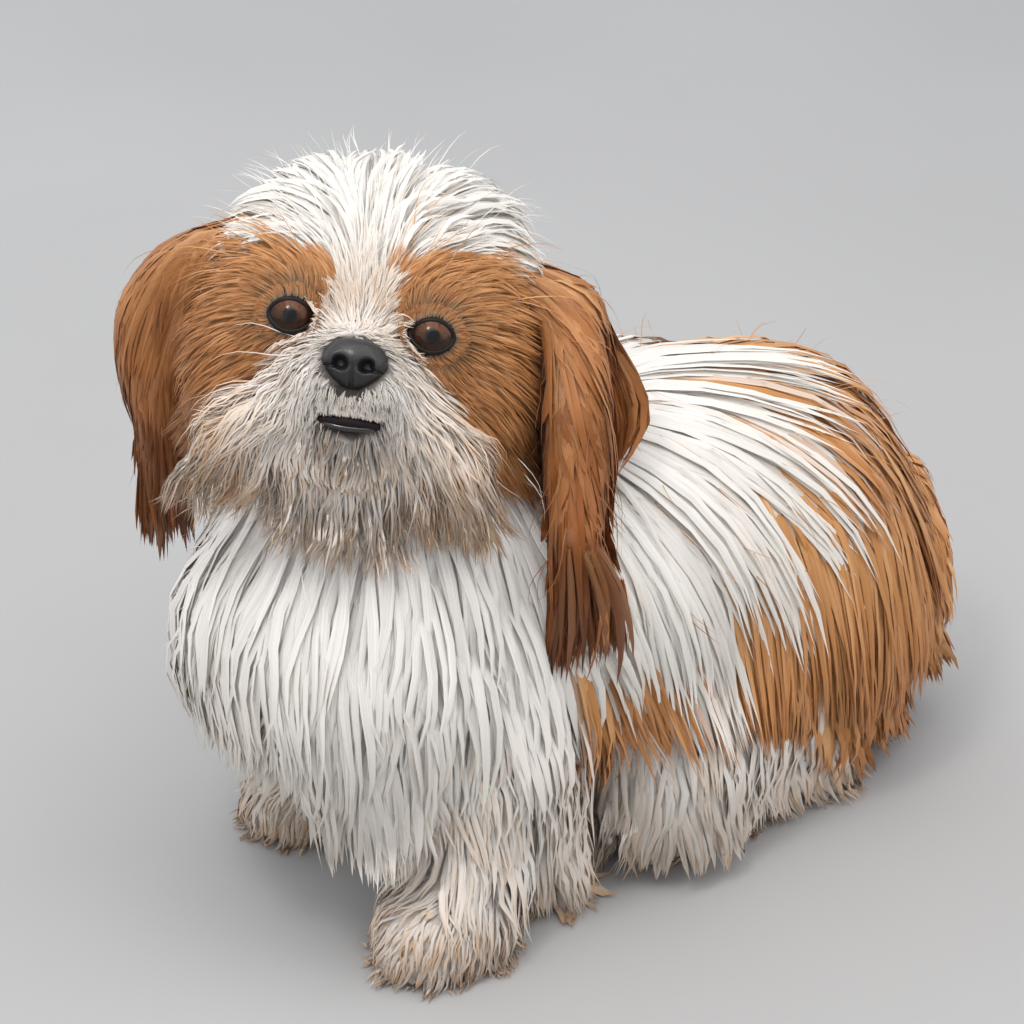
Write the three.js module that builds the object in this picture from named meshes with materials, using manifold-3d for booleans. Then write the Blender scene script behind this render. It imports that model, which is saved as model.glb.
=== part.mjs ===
// A sitting Shih Tzu at life size, its head turned to the left and tilted up, one front paw put forward.
// Millimetres, +Z up, the body heading along -Y, so +X is the dog's left. The dog rests on z = 0.
// Each named mesh is a part that a person would name. Its core is the flesh with the dense undercoat,
// and the long coat is tapered locks that grow from the core along the lie of the hair.
import * as THREE from "three";
import { mergeVertices } from "three/addons/utils/BufferGeometryUtils.js";
import Module from "manifold-3d";

const wasm = await Module();
wasm.setup();

// Driving dimensions
const SEAT = new THREE.Vector3(-12, 240, 0); // where the dog sits, from midway between its front paws
const SPINE_X = -12; // the rump lies this far to the right of the line midway between the front paws
const CHEST_R = 60; // ribs with their muscle
const NECK_R = 47;
const HEAD_CENTRE = new THREE.Vector3(-23, 28, 283);
const HEAD_TURN = 54; // degrees to the dog's left
const HEAD_PITCH = 31; // degrees up
const HEAD_ROLL = 8; // degrees, left side down
const SKULL_R = 47;
const EYE_R = 11;
const EYE_OUT = 29.3; // half the distance between the pupils
const EYE_FRONT = 45; // eyeball centre, in front of the head's centre
const NOSE_DOWN = 16.5; // nose centre, below the line between the eyes
const NOSE_FRONT = 66;
const NOSE_SIZE = new THREE.Vector3(27, 16, 20); // across, deep, high
const NOSTRIL = new THREE.Vector3(5.2, 7, 4);
const NOSTRIL_OUT = 6.4; // from the middle of the nose
const LID = 2.2; // thickness of the eyelids over the eyeball
const LID_OPENING = new THREE.Vector3(21, 17, 16.5); // across, deep, high
const LIP_R = 1.9;
const EAR_CUP = new THREE.Vector3(13, 10, 40); // the hollow on the inner side of each ear
const COAT_BODY = 26; // depth of the coat over the flesh, out to its tips
const COAT_LEG = 16;
const COAT_PAW = 10;
const COAT_TAIL = 15;
const CORE_SHARE = 0.45; // how far out of that depth the dense undercoat reaches
const TIP_SHARE = 1.04; // how far out of it the tips of the locks lie
const LOCK_THICK = 0.17; // of its width
const LOCK_THINNED = 0.6; // of that thickness, on the way to its tip
const LOCK_OUTLINE = [0.15, 0.73]; // its width is a sine from the first of these on, in half turns
const LOCK_RISE = 0.85; // below 1, a lock rises through the coat sooner
const MOST_BEND = 0.8; // cosine of the sharpest bend between two lengths of a lock
const TWIST_HOLD = 0.8; // how much a lock keeps the facing that it has
const EDGE_GROW = 6; // a lock's thin edge moves out this much further than its faces when it is grown
const SINK = 5; // of a lock's root under the core
const FLOOR_CLEAR = 0.8; // between the lowest tips and the floor
const TORSO_CUT = 104; // where the ribs end
const GAP = 0.45; // between neighbouring parts

// Length and width of the long locks, by where they grow
const LOCKS = {
  crown: [58, 30],
  cheek: [48, 22],
  nape: [56, 26],
  moustache: [46, 15],
  whisker: [40, 14],
  bridge: [17, 9],
  beard: [42, 16],
  ruff: [88, 46],
  spine: [78, 46],
  breast: [100, 38],
  belly: [62, 38],
  rump: [100, 42],
  hams: [62, 42],
  front_leg: [50, 24],
  hind_leg: [46, 26],
  paw: [34, 22],
  tail: [56, 20],
};
// Tiers of the flank's locks: degrees from the top of the back, length, width and how far aside they lie
const FLANK = [
  [28, 112, 42, 0.8],
  [60, 112, 42, 0.8],
  [90, 104, 42, 0.6],
];

const vec = (x, y, z) => new THREE.Vector3(x, y, z);
const radians = THREE.MathUtils.degToRad;
const DOWN = vec(0, 0, -1);

// Fields: a body is a few round cones, each from one joint to the next, blended where they meet.
// Each cone has the radii of its flesh and the depth of the coat over it.
function cone(a, b, ra, rb = ra, coat = 0) {
  const along = b.clone().sub(a);
  return { a, along, square: Math.max(along.lengthSq(), 1e-9), ra, rb, coat };
}

function coneDistance(p, { a, along, square, ra, rb, coat }, share) {
  const x = p.x - a.x;
  const y = p.y - a.y;
  const z = p.z - a.z;
  const t = Math.min(Math.max((x * along.x + y * along.y + z * along.z) / square, 0), 1);
  return Math.hypot(x - t * along.x, y - t * along.y, z - t * along.z) - ra - (rb - ra) * t - coat * share;
}

function blended(cones, blend, share) {
  return (p) => {
    let d = Infinity;
    for (const c of cones) {
      const e = coneDistance(p, c, share);
      const h = d === Infinity ? 0 : Math.max(blend - Math.abs(d - e), 0) / blend;
      d = Math.min(d, e) - h * h * blend * 0.25;
    }
    return d;
  };
}

const SLOPE_STEP = 0.5;
function outward(field, p) {
  const at = (axis, by) => field(p.clone().addScaledVector(axis, by));
  const slope = (axis) => at(axis, SLOPE_STEP) - at(axis, -SLOPE_STEP);
  return vec(slope(vec(1, 0, 0)), slope(vec(0, 1, 0)), slope(vec(0, 0, 1))).normalize();
}

// Walks from inside a body along a direction to where the field reaches the level.
const STRIDE = 4;
const FARTHEST = 260;
const HALVINGS = 12;
function reach(field, from, direction, level) {
  let near = 0;
  let far = STRIDE;
  while (field(from.clone().addScaledVector(direction, far)) < level && far < FARTHEST) {
    near = far;
    far += STRIDE;
  }
  for (let i = 0; i < HALVINGS; i++) {
    const middle = (near + far) / 2;
    if (field(from.clone().addScaledVector(direction, middle)) < level) near = middle;
    else far = middle;
  }
  return from.clone().addScaledVector(direction, (near + far) / 2);
}

// A closed skin wrapped round a body: rings along its axis, and a rounded cap at each end.
function wrapped(body, share, grow, { sides = 14, rings = 6, caps = 3, side = vec(1, 0, 0) } = {}) {
  const { axis, cones, blend } = body;
  const field = blended(cones, blend, share);
  const rows = [];
  const row = (at, tangent, lean) => {
    const across = side.clone().addScaledVector(tangent, -side.dot(tangent)).normalize();
    const over = tangent.clone().cross(across);
    return Array.from({ length: sides }, (_, i) => {
      const turn = (2 * Math.PI * i) / sides;
      const spoke = across.clone().multiplyScalar(Math.cos(turn)).addScaledVector(over, Math.sin(turn));
      spoke.multiplyScalar(Math.cos(lean)).addScaledVector(tangent, Math.sin(lean));
      return reach(field, at, spoke, grow);
    });
  };
  const start = axis.getPoint(0);
  const end = axis.getPoint(1);
  const startWay = axis.getTangent(0);
  const endWay = axis.getTangent(1);
  for (let i = 1; i < caps; i++) rows.push(row(start, startWay, (i / caps - 1) * (Math.PI / 2)));
  for (let i = 0; i <= rings; i++) rows.push(row(axis.getPoint(i / rings), axis.getTangent(i / rings), 0));
  for (let i = 1; i < caps; i++) rows.push(row(end, endWay, (i / caps) * (Math.PI / 2)));
  const points = rows.flat();
  const foot = points.push(reach(field, start, startWay.clone().negate(), grow)) - 1;
  const tip = points.push(reach(field, end, endWay, grow)) - 1;
  const faces = [];
  for (let r = 0; r + 1 < rows.length; r++)
    for (let i = 0; i < sides; i++) {
      const j = (i + 1) % sides;
      const [a, b, c, d] = [r * sides + i, r * sides + j, (r + 1) * sides + j, (r + 1) * sides + i];
      faces.push(a, b, c, a, c, d);
    }
  const last = (rows.length - 1) * sides;
  for (let i = 0; i < sides; i++) {
    const j = (i + 1) % sides;
    faces.push(foot, j, i, tip, last + i, last + j);
  }
  return closed(points, faces);
}

function closed(points, faces) {
  const geometry = new THREE.BufferGeometry().setFromPoints(points);
  geometry.setIndex(faces);
  return geometry;
}

// Booleans
const WELD = 1e-3; // vertices nearer than this are one
const PARTING = 0.02; // how far the sides of a pinched corner are drawn in

function solid(geometry, weld = WELD / 10) {
  const bare = new THREE.BufferGeometry();
  bare.setAttribute("position", geometry.getAttribute("position"));
  if (geometry.index) bare.setIndex(geometry.index);
  const merged = mergeVertices(bare, weld);
  return new wasm.Manifold(
    new wasm.Mesh({
      numProp: 3,
      vertProperties: new Float32Array(merged.attributes.position.array),
      triVerts: new Uint32Array(merged.index.array),
    }),
  );
}

const joined = (solids) => solids.reduce((all, one) => all.add(one));
const without = (made, cutters) => cutters.reduce((left, one) => left.subtract(one), made);

function biggest(made) {
  return made.decompose().reduce((best, one) => (one.volume() > best.volume() ? one : best));
}

// Brings a node to the frame of the seat as one closed body. Welding can pinch off a sliver where a cut
// left it thin, so it is looked at again until there is none.
function seated(made) {
  const moved = geometryOf(biggest(made)).translate(-SEAT.x, -SEAT.y, -SEAT.z);
  let kept = solid(moved, WELD);
  while (solid(parted(kept), WELD).decompose().length > 1)
    kept = solid(geometryOf(biggest(kept)), WELD);
  return parted(kept);
}

// Where a body only touches itself, each of the two sides is drawn in a little, so that they part.
function parted(made) {
  const geometry = geometryOf(made);
  const { position, normal } = geometry.attributes;
  const twins = new Map();
  for (let i = 0; i < position.count; i++) {
    const key = vec().fromBufferAttribute(position, i).divideScalar(WELD).round().toArray().join();
    twins.set(key, [...(twins.get(key) ?? []), i]);
  }
  for (const twin of [...twins.values()].filter((list) => list.length > 1).flat()) {
    const inward = vec().fromBufferAttribute(normal, twin).multiplyScalar(-PARTING);
    position.setXYZ(twin, ...vec().fromBufferAttribute(position, twin).add(inward).toArray());
  }
  return geometry;
}

function geometryOf(made) {
  const { vertProperties, triVerts, numProp } = made.getMesh();
  const positions = [];
  for (let i = 0; i < vertProperties.length; i += numProp)
    positions.push(...vertProperties.subarray(i, i + 3));
  const geometry = new THREE.BufferGeometry();
  geometry.setAttribute("position", new THREE.Float32BufferAttribute(positions, 3));
  geometry.setIndex(Array.from(triVerts));
  geometry.computeVertexNormals();
  return geometry;
}

// A seeded random number from 0 to 1, and a value that varies by up to that part of itself
const RANDOM_RANGE = 4294967296;
let seed = 20;
function random() {
  seed = (seed * 1664525 + 1013904223) % RANDOM_RANGE;
  return seed / RANDOM_RANGE;
}
const about = (value, part) => value * (1 + part * (2 * random() - 1));
const VARIED = 0.1; // of the length and width of a lock

const squared = (over, way) => over.clone().addScaledVector(way, -over.dot(way)).normalize();

// The path of a lock: from its root along its lie, bending down with its weight and rising through the coat
// to its outer face, clear of every neighbour and of the floor.
function lockPath({ cones, blend }, root, out, { lie, length, droop = 1, tuck, away = [], steps = 3 }) {
  const share = (i) => CORE_SHARE + (TIP_SHARE - CORE_SHARE) * (i / steps) ** LOCK_RISE;
  const level = (i) => blended(cones, blend, share(i));
  const path = [root];
  const overs = [out];
  let before = null;
  for (let i = 1; i <= steps; i++) {
    const field = level(i);
    const last = path[i - 1];
    const over = outward(field, last);
    const way = lie.clone().normalize().lerp(DOWN, (droop * i) / steps);
    if (tuck && i > 1) way.addScaledVector(tuck, i - 1);
    if (over.z > -0.1) way.addScaledVector(over, -way.dot(over));
    const p = last.clone().addScaledVector(way.normalize(), length / steps);
    const off = field(p);
    if (off < 0 || over.z > 0) p.addScaledVector(outward(field, p), -off);
    for (const [other, clear] of away) {
      const inside = clear - other(p);
      if (inside > 0) p.addScaledVector(outward(other, p), inside);
    }
    const step = p.sub(last).normalize();
    const bend = before ? step.dot(before) : 1;
    if (bend < MOST_BEND) step.addScaledVector(before, MOST_BEND - bend).normalize();
    path.push(last.clone().addScaledVector(step, length / steps));
    overs[i - 1] = squared(overs[i - 1], step);
    overs.push(squared(outward(field, path[i]).addScaledVector(overs[i - 1], TWIST_HOLD), step));
    before = step;
  }
  const lowest = Math.min(...path.map((p) => p.z));
  if (lowest < FLOOR_CLEAR && root.z > FLOOR_CLEAR) {
    const squeeze = (root.z - FLOOR_CLEAR) / (root.z - lowest);
    for (const p of path) p.z = root.z + (p.z - root.z) * squeeze;
  }
  return { path, overs };
}

// A lock: flat below and ridged above, widest near its middle, drawn out to a point.
function lock({ path, overs }, width, grow) {
  const points = [];
  const faces = [];
  const last = path.length - 1;
  const [start, turn] = LOCK_OUTLINE;
  for (let i = 0; i < last; i++) {
    const way = path[i + 1].clone().sub(path[Math.max(i - 1, 0)]).normalize();
    const across = way.clone().cross(overs[i]).normalize();
    const over = across.clone().cross(way);
    const half = (width / 2) * Math.sin(Math.PI * (start + (turn * i) / last)) + EDGE_GROW * grow;
    const thick = (width / 2) * LOCK_THICK * (1 - (LOCK_THINNED * i) / last) + grow;
    const at = path[i].clone().addScaledVector(way, i ? 0 : -grow);
    for (const [side, rise] of [[half, -thick], [0, thick + grow], [-half, -thick]])
      points.push(at.clone().addScaledVector(across, side).addScaledVector(over, rise));
  }
  const end = path[last].clone().sub(path[last - 1]).normalize();
  const tip = points.push(path[last].clone().addScaledVector(end, 3 * grow)) - 1;
  for (let i = 0; i < 3; i++) {
    const j = (i + 1) % 3;
    for (let r = 0; r + 1 < last; r++) {
      const [a, b, c, d] = [3 * r + i, 3 * r + j, 3 * r + 3 + j, 3 * r + 3 + i];
      faces.push(a, c, b, a, d, c);
    }
    faces.push(3 * (last - 1) + i, tip, 3 * (last - 1) + j);
  }
  faces.push(0, 1, 2);
  return solid(closed(points, faces));
}

// Joints of the skeleton, in the frame between the front paws
const J = {
  breast: vec(-16, 12, 142),
  ribs: vec(-18, 84, 144),
  withers: vec(-20, 46, 184),
  loin: vec(-16, 154, 148),
  pelvis: vec(-13, 220, 130),
  seat: vec(-12, 243, 80),
  neckFoot: vec(-20, 40, 186),
  neckTop: vec(-23, 34, 238),
};
const LEFT_FRONT = {
  shoulder: vec(24, 34, 138),
  elbow: vec(34, 52, 92),
  wrist: vec(42, 32, 38),
  paw: vec(47, 20, 18),
  toes: vec(50, 6, 15),
};
const RIGHT_FRONT = {
  shoulder: vec(-60, 34, 138),
  elbow: vec(-76, 54, 94),
  wrist: vec(-78, 36, 38),
  paw: vec(-79, 26, 18),
  toes: vec(-77, 13, 14),
};
const hind = (side) => ({
  hip: vec(SPINE_X + side * 32, 212, 88),
  knee: vec(SPINE_X + side * 48, 150, 58),
  hock: vec(SPINE_X + side * 44, 236, 22),
  ball: vec(SPINE_X + side * 50, 174, 16),
  toes: vec(SPINE_X + side * 50, 154, 13),
});
const TAIL = [vec(-12, 266, 114), vec(-10, 290, 131), vec(2, 309, 120), vec(14, 315, 92), vec(24, 310, 62)];

// The head has a frame of its own, set on the body by its turn, pitch and roll.
const HEAD_FRAME = new THREE.Matrix4()
  .makeRotationZ(radians(HEAD_TURN))
  .multiply(new THREE.Matrix4().makeRotationX(-radians(HEAD_PITCH)))
  .multiply(new THREE.Matrix4().makeRotationY(radians(HEAD_ROLL)))
  .setPosition(HEAD_CENTRE);
const onHead = (x, y, z) => vec(x, y, z).applyMatrix4(HEAD_FRAME);
const turned = (x, y, z) => vec(x, y, z).transformDirection(HEAD_FRAME);

const line = (...points) => new THREE.CatmullRomCurve3(points);
const headCone = (a, b, ra, rb, coat) => cone(onHead(...a), onHead(...b), ra, rb, coat);
const BODIES = {
  head: {
    axis: line(onHead(0, 24, 4), onHead(0, 4, 2), onHead(0, -28, -6)),
    blend: 14,
    cones: [
      headCone([-8, 17, 8], [8, 17, 8], SKULL_R - 6, SKULL_R - 6, 32),
      headCone([-22, -16, -5], [22, -16, -5], 33, 33, 2),
      headCone([-36, 6, -18], [36, 6, -18], 23, 23, 24),
    ],
  },
  muzzle: {
    axis: line(onHead(-16, -46, -27), onHead(0, -50, -25), onHead(16, -46, -27)),
    blend: 10,
    cones: [
      headCone([-11, -34, -26], [-9, -56, -25], 20, 14, 3),
      headCone([11, -34, -26], [9, -56, -25], 20, 14, 3),
      headCone([0, -40, -12], [0, -56, -15], 15, 13, 1),
      headCone([-10, -44, -28], [-50, -36, -53], 6, 1, 16),
      headCone([10, -44, -28], [50, -36, -53], 6, 1, 16),
    ],
  },
  chin: {
    axis: line(onHead(0, -22, -46), onHead(0, -48, -46)),
    blend: 10,
    cones: [
      headCone([-12, -24, -44], [-5, -52, -42], 13, 8, 4),
      headCone([12, -24, -44], [5, -52, -42], 13, 8, 4),
      headCone([-14, -32, -50], [-16, -36, -76], 6, 2, 15),
      headCone([14, -32, -50], [16, -36, -76], 6, 2, 15),
    ],
  },
  neck: {
    axis: line(J.neckFoot, J.neckTop),
    blend: 10,
    cones: [cone(J.neckFoot, J.neckTop, NECK_R + 6, NECK_R, COAT_BODY)],
  },
  torso: {
    axis: line(vec(-17, 30, 148), vec(-17, 90, 146), J.loin, J.pelvis.clone().lerp(J.seat, 0.5)),
    blend: 24,
    cones: [
      cone(J.breast, J.ribs, CHEST_R - 4, CHEST_R, COAT_BODY),
      cone(J.withers, J.loin, 46, 54, COAT_BODY),
      cone(J.ribs, J.loin, CHEST_R, 60, COAT_BODY),
      cone(J.loin, J.pelvis, 60, 58, COAT_BODY),
      cone(J.pelvis, J.seat, 58, 62, COAT_BODY + 3),
      cone(J.seat.clone().setZ(46), J.seat.clone().setZ(40), 46, 46, COAT_BODY),
    ],
  },
};

function legBodies(name, { shoulder, elbow, wrist, paw, toes }) {
  BODIES[`${name}_leg`] = {
    axis: line(shoulder, elbow, wrist),
    blend: 12,
    cones: [
      cone(shoulder, elbow, 30, 23, COAT_LEG),
      cone(elbow, wrist, 23, 15, COAT_LEG),
      cone(elbow, elbow.clone().add(vec(6, 30, -74)), 16, 4, COAT_LEG + 4),
    ],
  };
  BODIES[`${name}_paw`] = {
    axis: line(wrist.clone().lerp(paw, 0.5), toes),
    blend: 8,
    cones: [cone(wrist, paw, 16, 21, COAT_PAW), cone(paw, toes, 23, 19, COAT_PAW)],
  };
}

function hindBodies(name, { hip, knee, hock, ball, toes }) {
  BODIES[`${name}_leg`] = {
    axis: line(hip, knee),
    blend: 14,
    cones: [cone(hip, knee, 42, 28, COAT_LEG), cone(knee, hock, 26, 14, COAT_LEG)],
  };
  BODIES[`${name}_paw`] = {
    axis: line(hock, toes),
    blend: 8,
    cones: [cone(hock, ball, 14, 15, COAT_PAW), cone(ball, toes, 17, 14, COAT_PAW)],
  };
}

legBodies("front_left", LEFT_FRONT);
legBodies("front_right", RIGHT_FRONT);
hindBodies("hind_left", hind(1));
hindBodies("hind_right", hind(-1));
BODIES.tail = {
  axis: line(...TAIL),
  blend: 8,
  cones: TAIL.slice(1).map((joint, i) => cone(TAIL[i], joint, 11 - i, 10 - i, COAT_TAIL)),
};

// The lips are rolls along the edge of the mouth, each on the face of its jaw.
function lip(jaw, from, spokes) {
  const { cones, blend } = BODIES[jaw];
  const core = blended(cones, blend, CORE_SHARE);
  const edge = spokes.map((way) => reach(core, from, turned(...way), 0));
  return { axis: line(...edge), blend: 1, cones: edge.slice(1).map((p, i) => cone(edge[i], p, LIP_R)) };
}
const LIPS = {
  muzzle: lip("muzzle", onHead(0, -46, -27), [-0.8, -0.3, 0.3, 0.8].map((x) => [x, -0.9, -0.72])),
  chin: lip("chin", onHead(0, -38, -45), [-0.8, -0.3, 0.3, 0.8].map((x) => [x, -0.9, 0.05])),
};

const WRAPS = {
  lips: { sides: 4, rings: 5, caps: 1 },
  head: { sides: 14, rings: 3, caps: 4 },
  muzzle: { sides: 10, rings: 5, caps: 3, side: onHead(0, 0, 1).sub(HEAD_CENTRE) },
  chin: { sides: 10, rings: 2, caps: 2 },
  neck: { sides: 10, rings: 1, caps: 2 },
  torso: { sides: 12, rings: 6, caps: 3 },
  tail: { sides: 8, rings: 5, caps: 2 },
};
const COARSE = { sides: 10, rings: 3, caps: 2 };

// Ears: a leather flap at the side of the crown, and its hair, which falls far below it over the shoulder
const EARS = {
  ear_left: { side: 1, out: 84, length: 152, width: 32, swept: vec(0.84, -0.54, 0) },
  ear_right: { side: -1, out: 71, length: 138, width: 32, swept: vec(-0.84, -0.54, 0) },
};
const LEATHER = 6; // half the thickness of the folded flap at its root
const EAR_ROOT = vec(50, 8, 30);
const EAR_FOLD = vec(0, 4, 22); // where the flap turns down; how far out is each ear's own
const FALL_STEPS = 6;
const FLAP_STEPS = 5; // of those steps; the rest is hair alone
const hairy = (name) => blended(BODIES[name].cones, BODIES[name].blend, 1);

// Falls from a point like hair, step by step, and is swept aside until it is outside every body.
function fall(from, length, steps, clear, swept, away) {
  const points = [from.clone()];
  for (let i = 0; i < steps; i++) {
    const last = points[i];
    const p = last.clone().addScaledVector(DOWN, length / steps);
    while (away.some((field) => field(p) < clear)) p.addScaledVector(swept, 1);
    points.push(last.clone().addScaledVector(p.sub(last).normalize(), length / steps));
  }
  return points;
}

for (const [name, { side, out, length, width, swept }] of Object.entries(EARS)) {
  const root = onHead(side * EAR_ROOT.x, EAR_ROOT.y, EAR_ROOT.z);
  const fold = onHead(side * out, EAR_FOLD.y, EAR_FOLD.z);
  const away = [hairy("neck"), hairy("torso"), hairy("head")];
  const points = fall(fold, length, FALL_STEPS, width * 0.5, swept, away);
  const flap = points.slice(0, FLAP_STEPS);
  const hair = width / 2 - LEATHER;
  const cones = flap.slice(1).map((p, i) => cone(flap[i], p, LEATHER, LEATHER - 0.5, hair));
  cones.unshift(cone(root, fold, 8, LEATHER, hair));
  BODIES[name] = { axis: line(root, ...flap), blend: 10, cones };
  WRAPS[name] = { sides: 8, rings: 5, caps: 2, side: vec(-swept.y, swept.x, 0) };
}

// Coats: where each lock grows, which way it lies, its length and its width
const spread = (count) => Array.from({ length: count }, (_, i) => (2 * i) / (count - 1) - 1);
const clear = (name, gap = 3) => [hairy(name), gap];
const undercoat = (name, gap) => [blended(BODIES[name].cones, BODIES[name].blend, CORE_SHARE), gap];
const SIDES = [1, -1];

function headCoat() {
  const from = onHead(0, 12, 4);
  const locks = [];
  const add = (out, lie, [length, width]) =>
    locks.push({ from, out: turned(...out), lie: turned(...lie), length, width, droop: 0.6 });
  // The crown: degrees out from the parting, and degrees back of each lock in the row
  const rows = [
    [13, [-38, 12, 62]],
    [42, [-30, 16, 62]],
    [70, [-8, 44]],
  ];
  const cheeks = [
    [0.95, -0.42, -0.2],
    [0.95, 0.05, -0.35],
    [0.8, -0.35, -0.6],
    [0.8, 0.45, -0.45],
  ];
  // The mask: where each lock points out, its lie and its length
  const mask = [
    [[0.74, -0.78, 0.14], [0.9, 0.3, 0.1], 28],
    [[0.44, -0.84, 0.42], [0.5, 0.4, 0.7], 40],
    [[0.13, -0.86, 0.42], [0.2, 0.4, 0.8], 42],
    [[0.62, -0.78, -0.36], [0.7, 0.1, -0.7], 28],
  ];
  for (const side of SIDES) {
    for (const [aside, tilts] of rows)
      for (const tilt of tilts) {
        const a = radians(aside);
        const b = radians(tilt);
        const lie = [side * 0.9, 0.4, tilt < 0 ? 0.6 : -0.1];
        const out = [side * Math.sin(a), Math.sin(b) * Math.cos(a), Math.cos(b) * Math.cos(a)];
        add(out, lie, LOCKS.crown);
      }
    for (const [x, y, z] of cheeks) add([side * x, y, z], [side * 0.3, 0.2, -1], LOCKS.cheek);
    for (const [out, lie, length] of mask) {
      const mirrored = ([x, y, z]) => [side * x, y, z];
      add(mirrored(out), mirrored(lie), [length, length / 2]);
    }
    for (const x of [0.25, 0.75]) add([side * x, 0.9, -0.15], [side * 0.2, 0.3, -1], LOCKS.nape);
  }
  return locks;
}

function muzzleCoat() {
  const locks = [];
  for (const side of SIDES) {
    const from = onHead(side * 9, -44, -26);
    const away = [clear("head", 2)];
    const mirrored = ([x, y, z]) => turned(side * x, y, z);
    const add = (out, lie, [length, width]) =>
      locks.push({ from, out: mirrored(out), lie: mirrored(lie), length, width, droop: 0.4, away });
    for (let i = 0; i < 4; i++) {
      const out = [0.35 + 0.25 * i, -0.9 + 0.2 * i, -0.25 - 0.1 * i];
      const [length, width] = LOCKS.moustache;
      add(out, [0.4 + 0.2 * i, -0.1, -0.9 + 0.12 * i], [length + 4 * i, width]);
    }
    add([0.75, -0.7, 0.25], [0.9, 0, -0.3], LOCKS.whisker);
    add([0.2, -0.5, 0.85], [0.5, 0.4, 0.7], LOCKS.bridge);
  }
  return locks;
}

function chinCoat() {
  const from = onHead(0, -34, -44);
  const [length, width] = LOCKS.beard;
  const front = spread(4).map((x) => [turned(x * 0.9, -0.75, -0.6), turned(x * 0.45, -0.1, -1)]);
  const back = spread(3).map((x) => [turned(x, -0.1, -0.8), turned(x * 0.4, 0.15, -1)]);
  return [...front, ...back].map(([out, lie]) => ({ from, out, lie, length, width, droop: 0.3 }));
}

function earCoat(name) {
  const { swept, length, width } = EARS[name];
  const across = vec(-swept.y, swept.x, 0);
  const away = [clear("head", 1), clear("neck", 2), clear("torso", 2)];
  const locks = [];
  for (const at of [0.26, 0.62, 0.97])
    for (const turn of spread(3)) {
      const a = turn * 1.5;
      const out = swept.clone().multiplyScalar(Math.cos(a)).addScaledVector(across, Math.sin(a));
      const lie = DOWN.clone().addScaledVector(out, 0.2);
      locks.push({ at, out, lie, length: length * 0.5, width: width * 0.66, away });
    }
  return locks;
}

function neckCoat() {
  const away = [clear("torso", 5), clear("chin", 1)];
  const [length, width] = LOCKS.ruff;
  return spread(7).map((turn, i) => {
    const out = vec(Math.sin(turn * 2.2), -Math.cos(turn * 2.2), 0);
    const lie = out.clone().multiplyScalar(0.4).add(DOWN);
    return { at: 0.55 + 0.2 * (i % 2), out, lie, length, width, away, steps: 4 };
  });
}

function torsoCoat() {
  const away = [clear("tail", 2)];
  for (const leg of PAWED) away.push(undercoat(`${leg}_leg`, 5), clear(`${leg}_paw`));
  const locks = [];
  const add = (at, out, lie, [length, width], tuck, steps = 4) =>
    locks.push({ at, out, lie, length, width, tuck, away, steps });
  for (let i = 0; i < 6; i++) {
    const aside = 0.25 * (-1) ** i;
    add(0.06 + i * 0.17, vec(aside, 0, 1), vec(aside, 1, 0), LOCKS.spine);
  }
  for (const side of SIDES) {
    const tuck = vec(-side * 0.22, 0, 0);
    FLANK.forEach(([fromTop, length, width, aside], tier) => {
      const a = radians(fromTop);
      const out = vec(side * Math.sin(a), 0, Math.cos(a));
      const lie = vec(side * aside, 0.5, -0.5);
      for (let i = 0; i < 6; i++) add((i + 0.5 * ((tier + 1) % 2)) / 5.5, out, lie, [length, width], tuck);
    });
  }
  for (const [rise, count, front, rear] of [
    [0.45, 4, LOCKS.breast, LOCKS.rump],
    [-0.15, 3, LOCKS.belly, LOCKS.hams],
  ])
    for (const x of spread(count)) {
      add(0, vec(x * 0.9, -1, rise), vec(x * 0.2, -0.25, -1), front, vec(0, 0, 0), 3);
      add(1, vec(x * 0.9, 1, rise), vec(x * 0.2, 0.3, -1), rear, vec(0, -0.2, 0), 3);
    }
  return locks;
}

function legCoat(name, tiers, around, [length, width]) {
  const away = [undercoat(`${name}_paw`, 4)];
  return tiers.flatMap((at, tier) =>
    spread(around).map((turn) => {
      const a = turn * 2.5 + 0.3 * tier;
      const out = vec(Math.sin(a), -Math.cos(a), 0);
      const lie = out.clone().multiplyScalar(0.25).add(DOWN);
      return { at, out, lie, length, width, away };
    }),
  );
}

function pawCoat() {
  const [length, width] = LOCKS.paw;
  const rows = [
    [0.3, 2],
    [0.8, 3],
  ];
  return rows.flatMap(([at, count]) =>
    spread(count).map((turn) => {
      const out = vec(Math.sin(turn * 1.1), -0.3 - at * 0.5, Math.cos(turn * 1.1));
      return { at, out, lie: vec(turn * 0.5, -1, -0.2), length, width, droop: 0.8 };
    }),
  );
}

function tailCoat() {
  const [length, width] = LOCKS.tail;
  const away = [clear("torso", -6)];
  return [0.15, 0.5, 0.85].flatMap((at) =>
    spread(3).map((turn) => {
      const lie = vec(0.25 + turn * 0.2, 0.2, -1);
      return { at, out: vec(turn, 0.9, 0.3), lie, length, width, away };
    }),
  );
}

const PAWED = ["front_left", "front_right", "hind_left", "hind_right"];
const COATS = {
  head: headCoat(),
  muzzle: muzzleCoat(),
  chin: chinCoat(),
  ear_left: earCoat("ear_left"),
  ear_right: earCoat("ear_right"),
  neck: neckCoat(),
  tail: tailCoat(),
  torso: torsoCoat(),
};
for (const leg of PAWED) {
  COATS[`${leg}_leg`] = leg.startsWith("front")
    ? legCoat(leg, [0.5, 0.85], 5, LOCKS.front_leg)
    : legCoat(leg, [0.85], 7, LOCKS.hind_leg);
  COATS[`${leg}_paw`] = pawCoat();
}

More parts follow.
